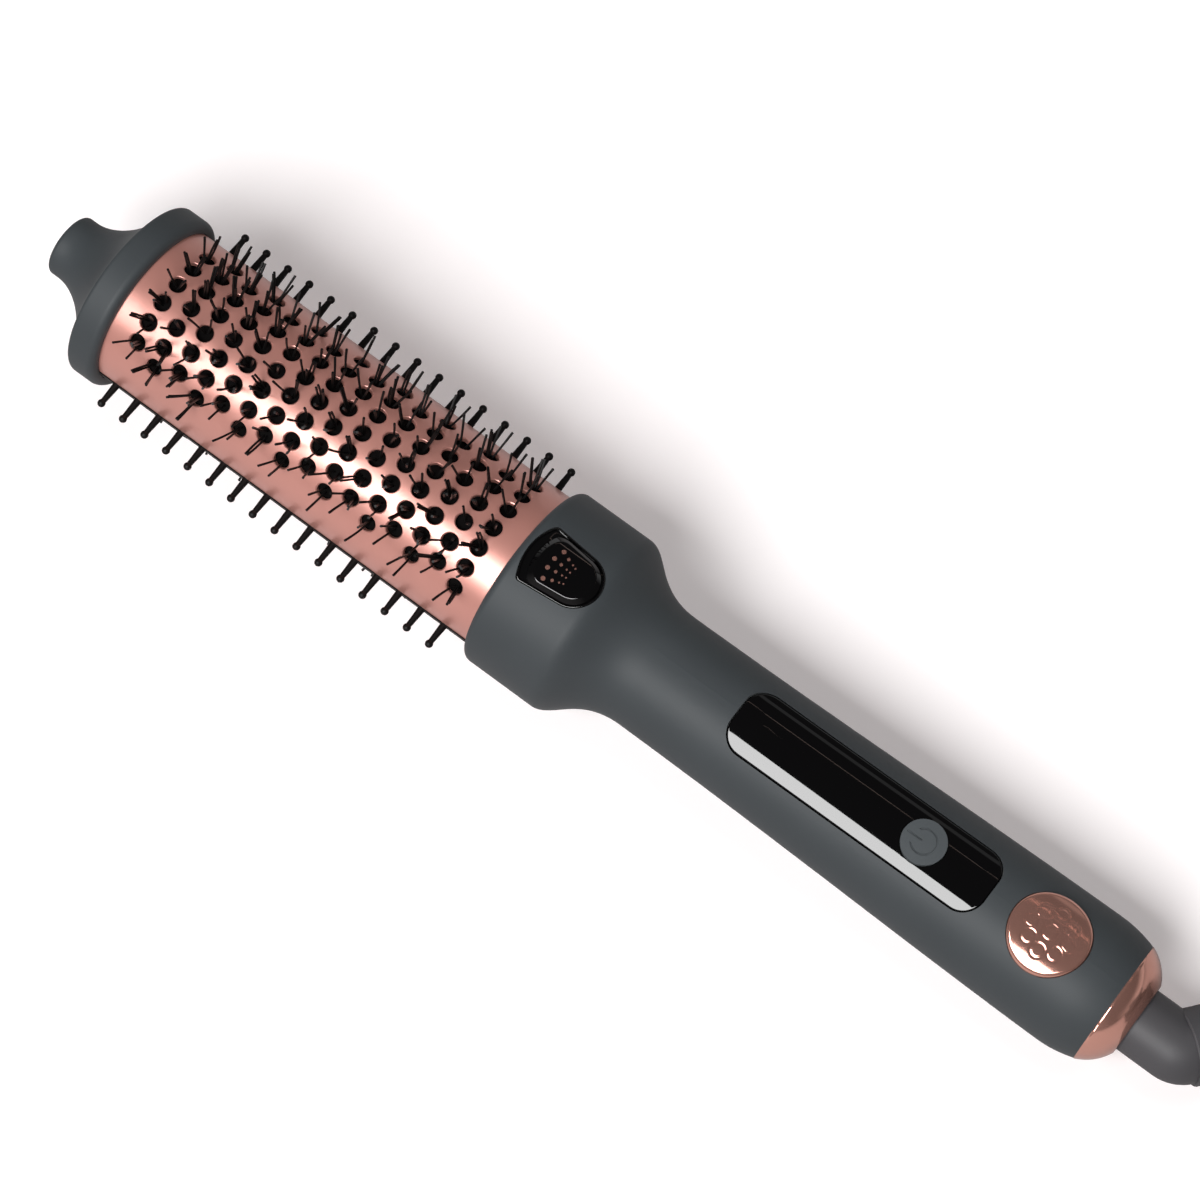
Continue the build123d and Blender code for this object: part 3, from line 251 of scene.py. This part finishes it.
wave_scale = 2 * math.pi / 20  # a wave texture of this scale repeats once a unit


def finish(name, colour, roughness, metallic=0.0, mottle=0.06, grain=900.0, bump=0.1, sockets=None):
    """A surface whose colour and gloss vary slightly, with a fine grain in its relief."""
    material = bpy.data.materials.new(name)
    material.use_nodes = True
    nodes, links = material.node_tree.nodes, material.node_tree.links
    shader = nodes["Principled BSDF"]
    shader.inputs["Metallic"].default_value = metallic
    for socket, value in (sockets or {}).items():
        shader.inputs[socket].default_value = value
    place = nodes.new("ShaderNodeTexCoord")
    cloud = nodes.new("ShaderNodeTexNoise")
    cloud.inputs["Scale"].default_value = 60.0
    cloud.inputs["Detail"].default_value = 4.0
    links.new(place.outputs["Object"], cloud.inputs["Vector"])
    tint = nodes.new("ShaderNodeValToRGB")
    low, high = tint.color_ramp.elements
    low.position, high.position = 0.3, 0.7
    low.color = (*[c * (1 - mottle) for c in colour], 1)
    high.color = (*[min(1, c * (1 + mottle)) for c in colour], 1)
    links.new(cloud.outputs["Fac"], tint.inputs["Fac"])
    links.new(tint.outputs["Color"], shader.inputs["Base Color"])
    gloss = nodes.new("ShaderNodeMapRange")
    gloss.inputs["To Min"].default_value = max(0.0, roughness - gloss_swing)
    gloss.inputs["To Max"].default_value = roughness + gloss_swing
    links.new(cloud.outputs["Fac"], gloss.inputs["Value"])
    links.new(gloss.outputs["Result"], shader.inputs["Roughness"])
    if bump:
        fine = nodes.new("ShaderNodeTexNoise")
        fine.inputs["Scale"].default_value = grain
        fine.inputs["Detail"].default_value = 2.0
        links.new(place.outputs["Object"], fine.inputs["Vector"])
        relief = nodes.new("ShaderNodeBump")
        relief.inputs["Strength"].default_value = bump
        relief.inputs["Distance"].default_value = 0.02 * mm
        links.new(fine.outputs["Fac"], relief.inputs["Height"])
        links.new(relief.outputs["Normal"], shader.inputs["Normal"])
    return material


def woven(name, colour, pitch):
    """A woven strap: two sets of threads, over and under each other."""
    material = finish(name, colour, roughness=0.75, mottle=0.1, bump=0)
    nodes, links = material.node_tree.nodes, material.node_tree.links
    place = nodes["Texture Coordinate"]
    parts = nodes.new("ShaderNodeSeparateXYZ")
    links.new(place.outputs["Object"], parts.inputs["Vector"])
    around_strap = nodes.new("ShaderNodeMath")
    links.new(parts.outputs["Y"], around_strap.inputs[0])
    links.new(parts.outputs["Z"], around_strap.inputs[1])
    flat = nodes.new("ShaderNodeCombineXYZ")
    links.new(parts.outputs["X"], flat.inputs["X"])
    links.new(around_strap.outputs["Value"], flat.inputs["Y"])
    threads = nodes.new("ShaderNodeMath")
    threads.operation = "MULTIPLY"
    for n, way in enumerate(("X", "Y")):
        wave = nodes.new("ShaderNodeTexWave")
        wave.bands_direction = way
        wave.inputs["Scale"].default_value = wave_scale / pitch
        links.new(flat.outputs["Vector"], wave.inputs["Vector"])
        links.new(wave.outputs["Fac"], threads.inputs[n])
    relief = nodes.new("ShaderNodeBump")
    relief.inputs["Strength"].default_value = 0.8
    relief.inputs["Distance"].default_value = 0.15 * mm
    links.new(threads.outputs["Value"], relief.inputs["Height"])
    links.new(relief.outputs["Normal"], nodes["Principled BSDF"].inputs["Normal"])
    return material


def make_materials():
    table = {name: finish(name, **look) for name, look in finishes.items()}
    table["woven_black"] = woven("woven_black", (0.02, 0.02, 0.021), thread_pitch)
    slot_of = {s["node"]: s["material_slot"] for s in record["subparts"]}
    for name, node in frame["nodes"].items():
        material = table[slot_of[name]]
        for slot in node.material_slots:
            slot.material = material
        if not node.material_slots:
            node.data.materials.append(material)
    return table, slot_of


# Smooth copies of CAD pieces, and how far their edges are rounded in mm
smooth_nodes = {"end_ring": 0.0, "cord_tie": 0.35}
merge_gap = 0.002 * mm


def smooth_copy(name, rounding):
    """A copy of a CAD node with its points merged, its edges rounded and its curves shaded smooth."""
    node = frame["nodes"][name]
    copy = bpy.data.objects.new(name + "_smooth", node.data.copy())
    bpy.context.scene.collection.objects.link(copy)
    bpy.ops.object.select_all(action="DESELECT")
    copy.select_set(True)
    bpy.context.view_layer.objects.active = copy
    bpy.ops.object.mode_set(mode="EDIT")
    bpy.ops.mesh.select_all(action="SELECT")
    bpy.ops.mesh.remove_doubles(threshold=merge_gap)
    bpy.ops.object.mode_set(mode="OBJECT")
    if rounding:
        rounded = copy.modifiers.new("rounded", "BEVEL")
        rounded.width = rounding * mm
        rounded.segments = 2
        rounded.limit_method = "ANGLE"
        rounded.angle_limit = math.radians(50)
        bpy.ops.object.modifier_apply(modifier=rounded.name)
    bpy.ops.object.shade_smooth_by_angle(angle=math.radians(28))
    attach(copy, node["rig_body"])
    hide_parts(name)
    return copy


# Bristles: tufts of thin strands that stand on a dark pad behind the holes; mm and degrees
barrel_front = -100.8
barrel_roll = 2.0
ring_count = 16
ring_start = 6.97
ring_pitch = 5.787
holes_per_ring = (6, 7)
hole_step_angle = 15.68
outer_hole_angle = (max(holes_per_ring) - 1) / 2 * hole_step_angle
pad_radius = 17.6
pad_depth = 1.3
pad_half_angle = 54.0
pad_rounding = 0.3
pad_overhang = 3.2
pad_gap = 0.2
tuft_root_radius = 17.3
tuft_reach = {"upper": (24.2, 25.2), "lower": (23.8, 24.8)}
seam_reach = {"upper": 0.7, "lower": -2.0}  # how much farther or less far beside the seams
reach_swing = 0.6
strand_counts = (2, 2, 3, 3)
strand_radius = 0.26
strand_widths = (1.0, 0.95, 1.15)
strand_turn_swing = 35
strand_leans = (5, 22)
strand_starts = (0.2, 0.55)
strand_bow = 0.35
twin_chance = 0.35
twin_gap = 0.55


def around(x, radius, angle):
    """A place on the brush's own axes, at an angle about them from the top towards -Y."""
    turn = math.radians(angle)
    return Vector((x, -radius * math.sin(turn), radius * math.cos(turn))) * mm


def add_strand(lines, root, tip, sag):
    """One strand: a slightly bowed line, a little thicker at its cut end."""
    line = lines.splines.new("NURBS")
    line.points.add(2)
    bow = root.lerp(tip, 0.5) + sag
    for point, place, width in zip(line.points, (root, bow, tip), strand_widths):
        point.co = (*place, 1)
        point.radius = width
    line.order_u = 3
    line.use_endpoint_u = True
    line.resolution_u = 3


def add_tuft(lines, draw, x, angle, reach_range, longer):
    """Strands through one hole, some of them side by side."""
    count = draw.choice(strand_counts)
    first = draw.uniform(0, 360)
    turn = Matrix.Rotation(math.radians(angle), 4, "X")
    for n in range(count):
        swing = draw.uniform(-strand_turn_swing, strand_turn_swing)
        way = math.radians(first + n * 360 / count + swing)
        lean = math.tan(math.radians(draw.uniform(*strand_leans)))
        reach = draw.uniform(*reach_range) + longer
        twins = 2 if draw.random() < twin_chance else 1
        for twin in range(twins):
            start = draw.uniform(*strand_starts)
            nudge = twin * twin_gap
            side_x = start * math.cos(way) - nudge * math.sin(way)
            side_y = start * math.sin(way) + nudge * math.cos(way)
            rise = reach - tuft_root_radius - draw.uniform(0, reach_swing)
            far_x = side_x + lean * rise * math.cos(way)
            far_y = side_y + lean * rise * math.sin(way)
            squeeze = min(1.0, reach / math.hypot(far_y, tuft_root_radius + rise))
            root = turn @ (Vector((x + side_x, -side_y, tuft_root_radius)) * mm)
            end = Vector((x + far_x, -far_y * squeeze, (tuft_root_radius + rise) * squeeze))
            sag = Vector([draw.uniform(-strand_bow, strand_bow) for _ in range(3)]) * mm
            add_strand(lines, root, turn @ (end * mm), sag)


def make_pad(x0, x1, middle, material):
    """A curved strip with rounded edges: its section, spun about the brush's axis."""
    bpy.ops.object.select_all(action="DESELECT")
    bpy.ops.mesh.primitive_plane_add(size=mm)
    pad = bpy.context.object
    low = pad_radius - pad_depth
    corners = [(x0, low), (x1, low), (x0, pad_radius), (x1, pad_radius)]
    for vertex, (x, radius) in zip(pad.data.vertices, corners):
        vertex.co = around(x, radius, middle - pad_half_angle)
    bpy.ops.object.mode_set(mode="EDIT")
    bpy.ops.mesh.select_all(action="SELECT")
    bpy.ops.mesh.bevel(offset=pad_rounding * mm, segments=3, affect="VERTICES")
    bpy.ops.mesh.select_all(action="SELECT")
    sweep = math.radians(2 * pad_half_angle)
    bpy.ops.mesh.spin(steps=30, angle=-sweep, center=(0, 0, 0), axis=(1, 0, 0))
    bpy.ops.mesh.select_all(action="SELECT")
    bpy.ops.mesh.normals_make_consistent(inside=False)
    bpy.ops.object.mode_set(mode="OBJECT")
    pad.data.materials.append(material)
    return pad


def settle(piece, name, node, smooth_angle):
    """Put a piece made on the brush's own axes where the brush lies, as a node's stand-in."""
    piece.name = name
    bpy.ops.object.select_all(action="DESELECT")
    piece.select_set(True)
    bpy.context.view_layer.objects.active = piece
    piece.matrix_world = lie
    bpy.ops.object.transform_apply(location=True, rotation=True, scale=True)
    bpy.ops.object.shade_smooth_by_angle(angle=math.radians(smooth_angle))
    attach(piece, "brush")
    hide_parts(node)


def make_bristles(strand_material, pad_material):
    rings = [barrel_front + ring_start + k * ring_pitch for k in range(ring_count)]
    half = ring_count // 2
    middle = (rings[half - 1] + rings[half]) / 2
    parts = {
        "front": (range(half), rings[0] - pad_overhang, middle - pad_gap / 2),
        "back": (range(half, ring_count), middle + pad_gap / 2, rings[-1] + pad_overhang),
    }
    for side, turn in (("upper", 0.0), ("lower", 180.0)):
        for part, (ks, x0, x1) in parts.items():
            draw = random.Random(side + part)
            pad = make_pad(x0, x1, turn + barrel_roll, pad_material)
            lines = bpy.data.curves.new("strands", "CURVE")
            lines.dimensions = "3D"
            lines.bevel_depth = strand_radius * mm
            lines.bevel_resolution = 1
            lines.use_fill_caps = True
            for k in ks:
                count = holes_per_ring[k % 2]
                for n in range(count):
                    off = (n - (count - 1) / 2) * hole_step_angle
                    longer = seam_reach[side] * (off / outer_hole_angle) ** 2
                    angle = off + turn + barrel_roll
                    add_tuft(lines, draw, rings[k], angle, tuft_reach[side], longer)
            strands = bpy.data.objects.new("strands", lines)
            bpy.context.scene.collection.objects.link(strands)
            lines.materials.append(strand_material)
            bpy.ops.object.select_all(action="DESELECT")
            strands.select_set(True)
            bpy.context.view_layer.objects.active = strands
            bpy.ops.object.convert(target="MESH")
            pad.select_set(True)
            bpy.ops.object.join()
            bpy.ops.object.mode_set(mode="EDIT")
            bpy.ops.mesh.select_all(action="SELECT")
            bpy.ops.mesh.remove_doubles(threshold=merge_gap)
            bpy.ops.object.mode_set(mode="OBJECT")
            name = f"bristles_{side}_{part}"
            settle(strands, name + "_tufts", name, smooth_angle=50)


# Plates moulded to the sleeve: the outlet's tray and badge, the lens and the medallion; mm
tray_radius = 21.7
badge_radius = 22.25
outlet_start = 1.95
outlet_length = 18.0
outlet_half_width = 7.2
outlet_narrow_share = 0.87
outlet_bow = 1.9
outlet_middle = 12.0
outlet_corner = 1.1
bow_steps = 10
corner_steps = 8
side_steps = 8
end_steps = 12
badge_inset = 0.6
badge_start = 1.35
badge_corner = 3.4
badge_corner_share = 0.4
panel_start = 56.5
panel_length = 63.6
panel_width = 14.95
panel_corner = 4.9
panel_corner_steps = 9
smallest_corner = 0.02
button_x = 103.3
button_hole = 5.05
drill_middle = 13
drill_depth = 8
lens_sunk = 0.1
long_side_steps = 30
short_side_steps = 4
halvings = 30
grip_curve = [(35.85, 13.8), (75.9, 13.8), (111.6, 15.31), (144.1, 15.38)]
medallion_x = 134.7
medallion_radius = 8.9
medallion_sides = 160
medallion_depth = 3.2
medallion_rim = 0.8
medallion_rim_steps = 8
medallion_proud = 0.45
medallion_bow_across = 19
medallion_bow_along = 120
face_start = 0.1
engraved_radius = 6.6
engraved_step = 0.13
plain_step = 0.35
smallest_ring = 0.2
rosette_rings = 8
rosette_radius = 4.5
rosette_ring_radius = 1.475
rosette_middle_radius = 1.7
rosette_half_width = 0.3
rosette_depth = 0.14

# Rims of the plates, from their foot inwards: how far out and how far up each ring lies
tray_rim = [
    (0, -0.9), (0, -0.12), (-0.04, -0.04), (-0.12, 0), (-0.24, 0), (-0.3, -0.03),
    (-0.34, -0.1), (-0.36, -0.55), (-0.42, -0.6),
]
tray_shares = (0.9, 0.7, 0.5, 0.3, 0.1)
badge_rim = [
    (0, -1.12), (0, -0.94), (-0.02, -0.9), (-0.06, -0.86), (-0.2, -0.76), (-1.1, -0.085),
    (-1.16, -0.045), (-1.23, -0.015), (-1.31, 0), (-1.5, 0),
]
badge_shares = (0.93, 0.8, 0.65, 0.5, 0.35, 0.2, 0.08)
lens_rim = [
    (0, -1.6), (0, -0.2), (-0.03, -0.1), (-0.1, -0.03), (-0.2, 0), (-0.35, 0), (-0.9, 0),
    (-1.7, 0), (-2.5, 0), (-3.3, 0), (-4.1, 0), (-4.8, 0),
]
lens_last_ring = -4.85
lens_squashes = (0.7, 0.4, 0.1)


def grip_radius(x):
    """The grip's outer radius at x."""
    low, high = 0.0, 1.0
    for _ in range(halvings):
        t = (low + high) / 2
        shares = ((1 - t) ** 3, 3 * t * (1 - t) ** 2, 3 * t**2 * (1 - t), t**3)
        if sum(s * p[0] for s, p in zip(shares, grip_curve)) < x:
            low = t
        else:
            high = t
    return sum(s * p[1] for s, p in zip(shares, grip_curve))


def stretch(start, end, steps):
    """Points on a straight line, its first one left out."""
    return [Vector(start).lerp(Vector(end), k / steps) for k in range(1, steps + 1)]


def outlet_outline(grow, start=0.0, corner=outlet_corner):
    """D outline: a bowed wide end, rounded corners, slanted sides and a round narrow end."""
    w = outlet_half_width + grow
    x0 = outlet_start + outlet_bow - grow + start
    x1 = outlet_start + outlet_length + grow
    narrow = outlet_narrow_share * w
    middle = x1 - narrow
    slope = math.atan2(w, middle - x0) - math.asin(narrow / math.hypot(middle - x0, w))
    bow_radius = (w**2 + outlet_bow**2) / (2 * outlet_bow)
    bow_middle = x0 - outlet_bow + bow_radius
    side = Vector((math.cos(slope), -math.sin(slope)))
    edge = Vector((w, bow_radius - outlet_bow)) / bow_radius
    turn = edge.angle(side)
    cut = corner * math.tan(turn / 2)
    reach = math.asin(w / bow_radius) - cut / bow_radius
    half = []
    for k in range(bow_steps + 1):
        a = reach * k / bow_steps
        half.append(Vector((bow_middle - bow_radius * math.cos(a), bow_radius * math.sin(a))))
    p0, p3 = half[-1], Vector((x0, w)) + side * cut
    pull = corner * math.tan(turn / 4) * 4 / 3
    p1, p2 = p0 + Vector((math.sin(reach), math.cos(reach))) * pull, p3 - side * pull
    for k in range(1, corner_steps + 1):
        t = k / corner_steps
        half.append((1 - t) ** 3 * p0 + 3 * t * (1 - t) ** 2 * p1 + 3 * t**2 * (1 - t) * p2 + t**3 * p3)
    tangent = Vector((middle + narrow * math.sin(slope), narrow * math.cos(slope)))
    half += stretch(p3, tangent, side_steps)
    for k in range(1, end_steps + 1):
        a = (math.pi / 2 - slope) * (1 - k / end_steps)
        half.append(Vector((middle + narrow * math.cos(a), narrow * math.sin(a))))
    return half + [Vector((p.x, -p.y)) for p in half[-2:0:-1]]


def panel_outline(grow, squash=1.0):
    """A rectangle with round corners, flattened for the rings near its middle line."""
    corner = max(smallest_corner, panel_corner + grow)
    x, y = panel_length / 2 + grow - corner, panel_width / 2 + grow - corner
    centre = panel_start + panel_length / 2
    points = []
    corners = [(x, y), (-x, y), (-x, -y), (x, -y)]
    for n, (corner_x, corner_y) in enumerate(corners):
        arc = []
        for k in range(panel_corner_steps + 1):
            a = math.pi / 2 * (n + k / panel_corner_steps)
            arc.append(Vector((corner_x + corner * math.cos(a), corner_y + corner * math.sin(a))))
        if points:
            steps = long_side_steps if n % 2 else short_side_steps
            points += stretch(points[-1], arc[0], steps)[:-1]
        points += arc
    points += stretch(points[-1], points[0], short_side_steps)[:-1]
    return [Vector((centre + p.x, p.y * squash)) for p in points]


def shrunk(points, centre_x, share):
    return [Vector((centre_x + (p.x - centre_x) * share, p.y * share)) for p in points]


def circle_outline(radius):
    turns = [2 * math.pi * k / medallion_sides for k in range(medallion_sides)]
    return [Vector((medallion_x + radius * math.cos(a), radius * math.sin(a))) for a in turns]


def moulded_plate(rings, surface):
    """A filled ring of points, extruded ring by ring over its rim and face, laid on a surface."""
    bpy.ops.object.select_all(action="DESELECT")
    bpy.ops.mesh.primitive_circle_add(vertices=len(rings[0][0]), radius=mm, fill_type="NGON")
    plate = bpy.context.object
    rings = [[Vector((p.x, p.y, lift)) * mm for p in points] for points, lift in rings]
    for vertex, place in zip(plate.data.vertices, rings[0]):
        vertex.co = place
    bpy.ops.object.mode_set(mode="EDIT")
    bpy.ops.mesh.select_mode(type="FACE")
    bpy.ops.mesh.select_all(action="SELECT")
    for before, after in zip(rings, rings[1:]):
        bpy.ops.mesh.extrude_region_move()
        bpy.ops.object.mode_set(mode="OBJECT")
        near = KDTree(len(before))
        for n, place in enumerate(before):
            near.insert(place, n)
        near.balance()
        for vertex in plate.data.vertices:
            if vertex.select:
                vertex.co = after[near.find(vertex.co)[1]]
        bpy.ops.object.mode_set(mode="EDIT")
    bpy.ops.mesh.select_all(action="DESELECT")
    bpy.ops.object.mode_set(mode="OBJECT")
    for face in plate.data.polygons:
        face.select = len(face.vertices) > 4
    bpy.ops.object.mode_set(mode="EDIT")
    bpy.ops.mesh.poke()
    bpy.ops.mesh.select_all(action="SELECT")
    bpy.ops.mesh.normals_make_consistent(inside=False)
    bpy.ops.object.mode_set(mode="OBJECT")
    for vertex in plate.data.vertices:
        vertex.co.z += surface(vertex.co.x / mm, vertex.co.y / mm) * mm
    return plate


def make_tray(material):
    rings = [(outlet_outline(grow), lift) for grow, lift in tray_rim]
    inner, floor_lift = rings[-1]
    rings += [(shrunk(inner, outlet_middle, share), floor_lift) for share in tray_shares]
    tray = moulded_plate(rings, lambda x, y: math.sqrt(tray_radius**2 - y**2))
    tray.data.materials.append(material)
    settle(tray, "outlet_tray", "ion_outlet_tray", smooth_angle=40)


def make_badge(material):
    rings = []
    for grow, lift in badge_rim:
        corner = badge_corner + grow * badge_corner_share
        rings.append((outlet_outline(grow - badge_inset, badge_start, corner), lift))
    inner = rings[-1][0]
    rings += [(shrunk(inner, outlet_middle, share), 0) for share in badge_shares]
    badge = moulded_plate(rings, lambda x, y: math.sqrt(badge_radius**2 - y**2))
    badge.data.materials.append(material)
    settle(badge, "outlet_badge", "ion_badge", smooth_angle=50)


def make_lens(material):
    rings = [(panel_outline(grow), lift) for grow, lift in lens_rim]
    rings += [(panel_outline(lens_last_ring, squash), 0) for squash in lens_squashes]
    radius_at = {}

    def surface(x, y):
        key = round(x, 3)
        if key not in radius_at:
            radius_at[key] = grip_radius(x) - lens_sunk
        return math.sqrt(radius_at[key] ** 2 - y**2)

    lens = moulded_plate(rings, surface)
    bpy.ops.object.select_all(action="DESELECT")
    bpy.ops.mesh.primitive_cylinder_add(
        vertices=72,
        radius=button_hole * mm,
        depth=drill_depth * mm,
        location=(button_x * mm, 0, drill_middle * mm),
    )
    drill = bpy.context.object
    cut = lens.modifiers.new("button_hole", "BOOLEAN")
    cut.operation = "DIFFERENCE"
    cut.object = drill
    bpy.context.view_layer.objects.active = lens
    bpy.ops.object.modifier_apply(modifier=cut.name)
    bpy.data.objects.remove(drill)
    lens.data.materials.clear()
    lens.data.materials.append(material)
    settle(lens, "lens", "display_lens", smooth_angle=35)


def rosette(x, y):
    """How deep the engraved rings are at a point of the medallion."""
    spots = [(0.0, 0.0, rosette_middle_radius)]
    for n in range(rosette_rings):
        turn = n * 2 * math.pi / rosette_rings
        spot_x, spot_y = rosette_radius * math.cos(turn), rosette_radius * math.sin(turn)
        spots.append((spot_x, spot_y, rosette_ring_radius))
    depth = 0.0
    for spot_x, spot_y, radius in spots:
        away = math.hypot(x - medallion_x - spot_x, y - spot_y) - radius
        off = abs(away) / rosette_half_width
        depth = max(depth, (1 - off * off) ** 2 if off < 1 else 0.0)
    return rosette_depth * depth


def make_medallion(material):
    rings = [(circle_outline(medallion_radius), -medallion_depth)]
    for k in range(medallion_rim_steps + 1):
        turn = math.pi / 2 * k / medallion_rim_steps
        radius = medallion_radius - medallion_rim * (1 - math.cos(turn))
        rings.append((circle_outline(radius), medallion_rim * (math.sin(turn) - 1)))
    radius = medallion_radius - medallion_rim - face_start
    while radius > smallest_ring:
        rings.append((circle_outline(radius), 0))
        radius -= engraved_step if radius < engraved_radius else plain_step
    crown = grip_radius(medallion_x) + medallion_proud

    def surface(x, y):
        drop = (x - medallion_x) ** 2 / (2 * medallion_bow_along)
        arc = math.sqrt((medallion_bow_across - drop) ** 2 - y**2)
        return crown - medallion_bow_across + arc - rosette(x, y)

    medallion = moulded_plate(rings, surface)
    medallion.data.materials.append(material)
    settle(medallion, "medallion_boss", "medallion", smooth_angle=60)


# Floor and light
floor_side = 8.0
floor_lighting_colour = (0.44, 0.42, 0.42, 1)
floor_seen_colour = (0.98, 0.95, 0.95, 1)
floor_glow_colour = (1, 0.84, 0.84, 1)
floor_glow = 0.09
room_near_colour = (0.26, 0.245, 0.245, 1)
room_far_colour = (0.05, 0.047, 0.047, 1)
horizon_glow = 0.5
ground = (0, 0, 0)


def make_floor():
    """A table top that is paler to the camera than to reflections and to the light it throws."""
    bpy.ops.object.select_all(action="DESELECT")
    bpy.ops.mesh.primitive_plane_add(size=floor_side, location=ground)
    floor = bpy.context.object
    floor.name = "floor"
    material = bpy.data.materials.new("table_top")
    material.use_nodes = True
    nodes, links = material.node_tree.nodes, material.node_tree.links
    shader = nodes["Principled BSDF"]
    path = nodes.new("ShaderNodeLightPath")
    top = nodes.new("ShaderNodeMix")
    top.data_type = "RGBA"
    top.inputs["A"].default_value = floor_lighting_colour
    top.inputs["B"].default_value = floor_seen_colour
    links.new(path.outputs["Is Camera Ray"], top.inputs["Factor"])
    links.new(top.outputs["Result"], shader.inputs["Base Color"])
    shader.inputs["Roughness"].default_value = 0.7
    shader.inputs["Specular IOR Level"].default_value = 0.1
    glow = nodes.new("ShaderNodeEmission")
    glow.inputs["Color"].default_value = floor_glow_colour
    seen = nodes.new("ShaderNodeMath")
    seen.operation = "MULTIPLY"
    seen.inputs[1].default_value = floor_glow
    links.new(path.outputs["Is Camera Ray"], seen.inputs[0])
    links.new(seen.outputs[0], glow.inputs["Strength"])
    both = nodes.new("ShaderNodeAddShader")
    links.new(shader.outputs["BSDF"], both.inputs[0])
    links.new(glow.outputs["Emission"], both.inputs[1])
    links.new(both.outputs["Shader"], nodes["Material Output"].inputs["Surface"])
    floor.data.materials.append(material)


def area_light(name, place, width, height, power, colour=(1, 1, 1)):
    """A flat lamp that faces the middle of the scene."""
    data = bpy.data.lights.new(name, "AREA")
    data.shape = "RECTANGLE"
    data.size, data.size_y = width, height
    data.energy = power
    data.color = colour
    light = bpy.data.objects.new(name, data)
    bpy.context.scene.collection.objects.link(light)
    towards = (Vector(ground) - Vector(place)).to_track_quat("-Z", "Y")
    light.matrix_world = Matrix.Translation(Vector(place)) @ towards.to_matrix().to_4x4()
    return light


def make_room():
    """A dim room, lighter low down on the viewer's side and along the far horizon."""
    world = bpy.data.worlds.new("room")
    bpy.context.scene.world = world
    world.use_nodes = True
    nodes, links = world.node_tree.nodes, world.node_tree.links
    way = nodes.new("ShaderNodeTexCoord")
    parts = nodes.new("ShaderNodeSeparateXYZ")
    links.new(way.outputs["Generated"], parts.inputs["Vector"])
    reach = nodes.new("ShaderNodeMapRange")
    reach.inputs["From Min"].default_value = -1.0
    links.new(parts.outputs["Y"], reach.inputs["Value"])
    ramp = nodes.new("ShaderNodeValToRGB")
    near, far = ramp.color_ramp.elements
    near.position, far.position = 0.04, 0.3
    near.color = room_near_colour
    far.color = room_far_colour
    links.new(reach.outputs["Result"], ramp.inputs["Fac"])
    beyond = nodes.new("ShaderNodeMapRange")
    beyond.inputs["From Min"].default_value = -0.3
    beyond.inputs["From Max"].default_value = 0.3
    links.new(parts.outputs["Y"], beyond.inputs["Value"])
    low = nodes.new("ShaderNodeMapRange")
    low.inputs["From Min"].default_value = 0.24
    low.inputs["From Max"].default_value = 0.06
    low.inputs["To Max"].default_value = horizon_glow
    links.new(parts.outputs["Z"], low.inputs["Value"])
    horizon = nodes.new("ShaderNodeMath")
    horizon.operation = "MULTIPLY"
    links.new(beyond.outputs["Result"], horizon.inputs[0])
    links.new(low.outputs["Result"], horizon.inputs[1])
    both = nodes.new("ShaderNodeVectorMath")
    both.operation = "ADD"
    links.new(ramp.outputs["Color"], both.inputs[0])
    links.new(horizon.outputs["Value"], both.inputs[1])
    links.new(both.outputs["Vector"], nodes["Background"].inputs["Color"])


def make_light():
    bpy.context.scene.view_settings.view_transform = "Standard"
    make_room()
    area_light("softbox", (0.0, -0.753, 0.947), width=0.8, height=0.62, power=18.0)
    fill = area_light("ceiling_glow", (0.0, 0.45, 1.1), width=1.0, height=0.8, power=5.0)
    fill.visible_glossy = False
    area_light("far_wall", (0.0, 1.05, 0.6), width=1.4, height=0.125, power=0.12)
    warm = (1, 0.75, 0.65)
    area_light("thin_glow", (0.0, 0.70, 0.98), width=1.4, height=0.012, power=0.1, colour=warm)


make_camera()
materials, slot_of = make_materials()
smooth = {name: smooth_copy(name, edge) for name, edge in smooth_nodes.items()}
smooth["cord_tie"].data.materials[0] = materials["woven_black"]
cord = make_cord(smooth["cord_tie"])
cord.data.materials.append(materials["cord_grey"])
make_bristles(materials["heat_nylon"], materials["pad_black"])
make_tray(materials["gloss_black"])
make_badge(materials["gloss_black"])
make_lens(materials["gloss_black"])
make_medallion(materials["rose_polish"])
make_floor()
make_light()

bpy.context.view_layer.update()
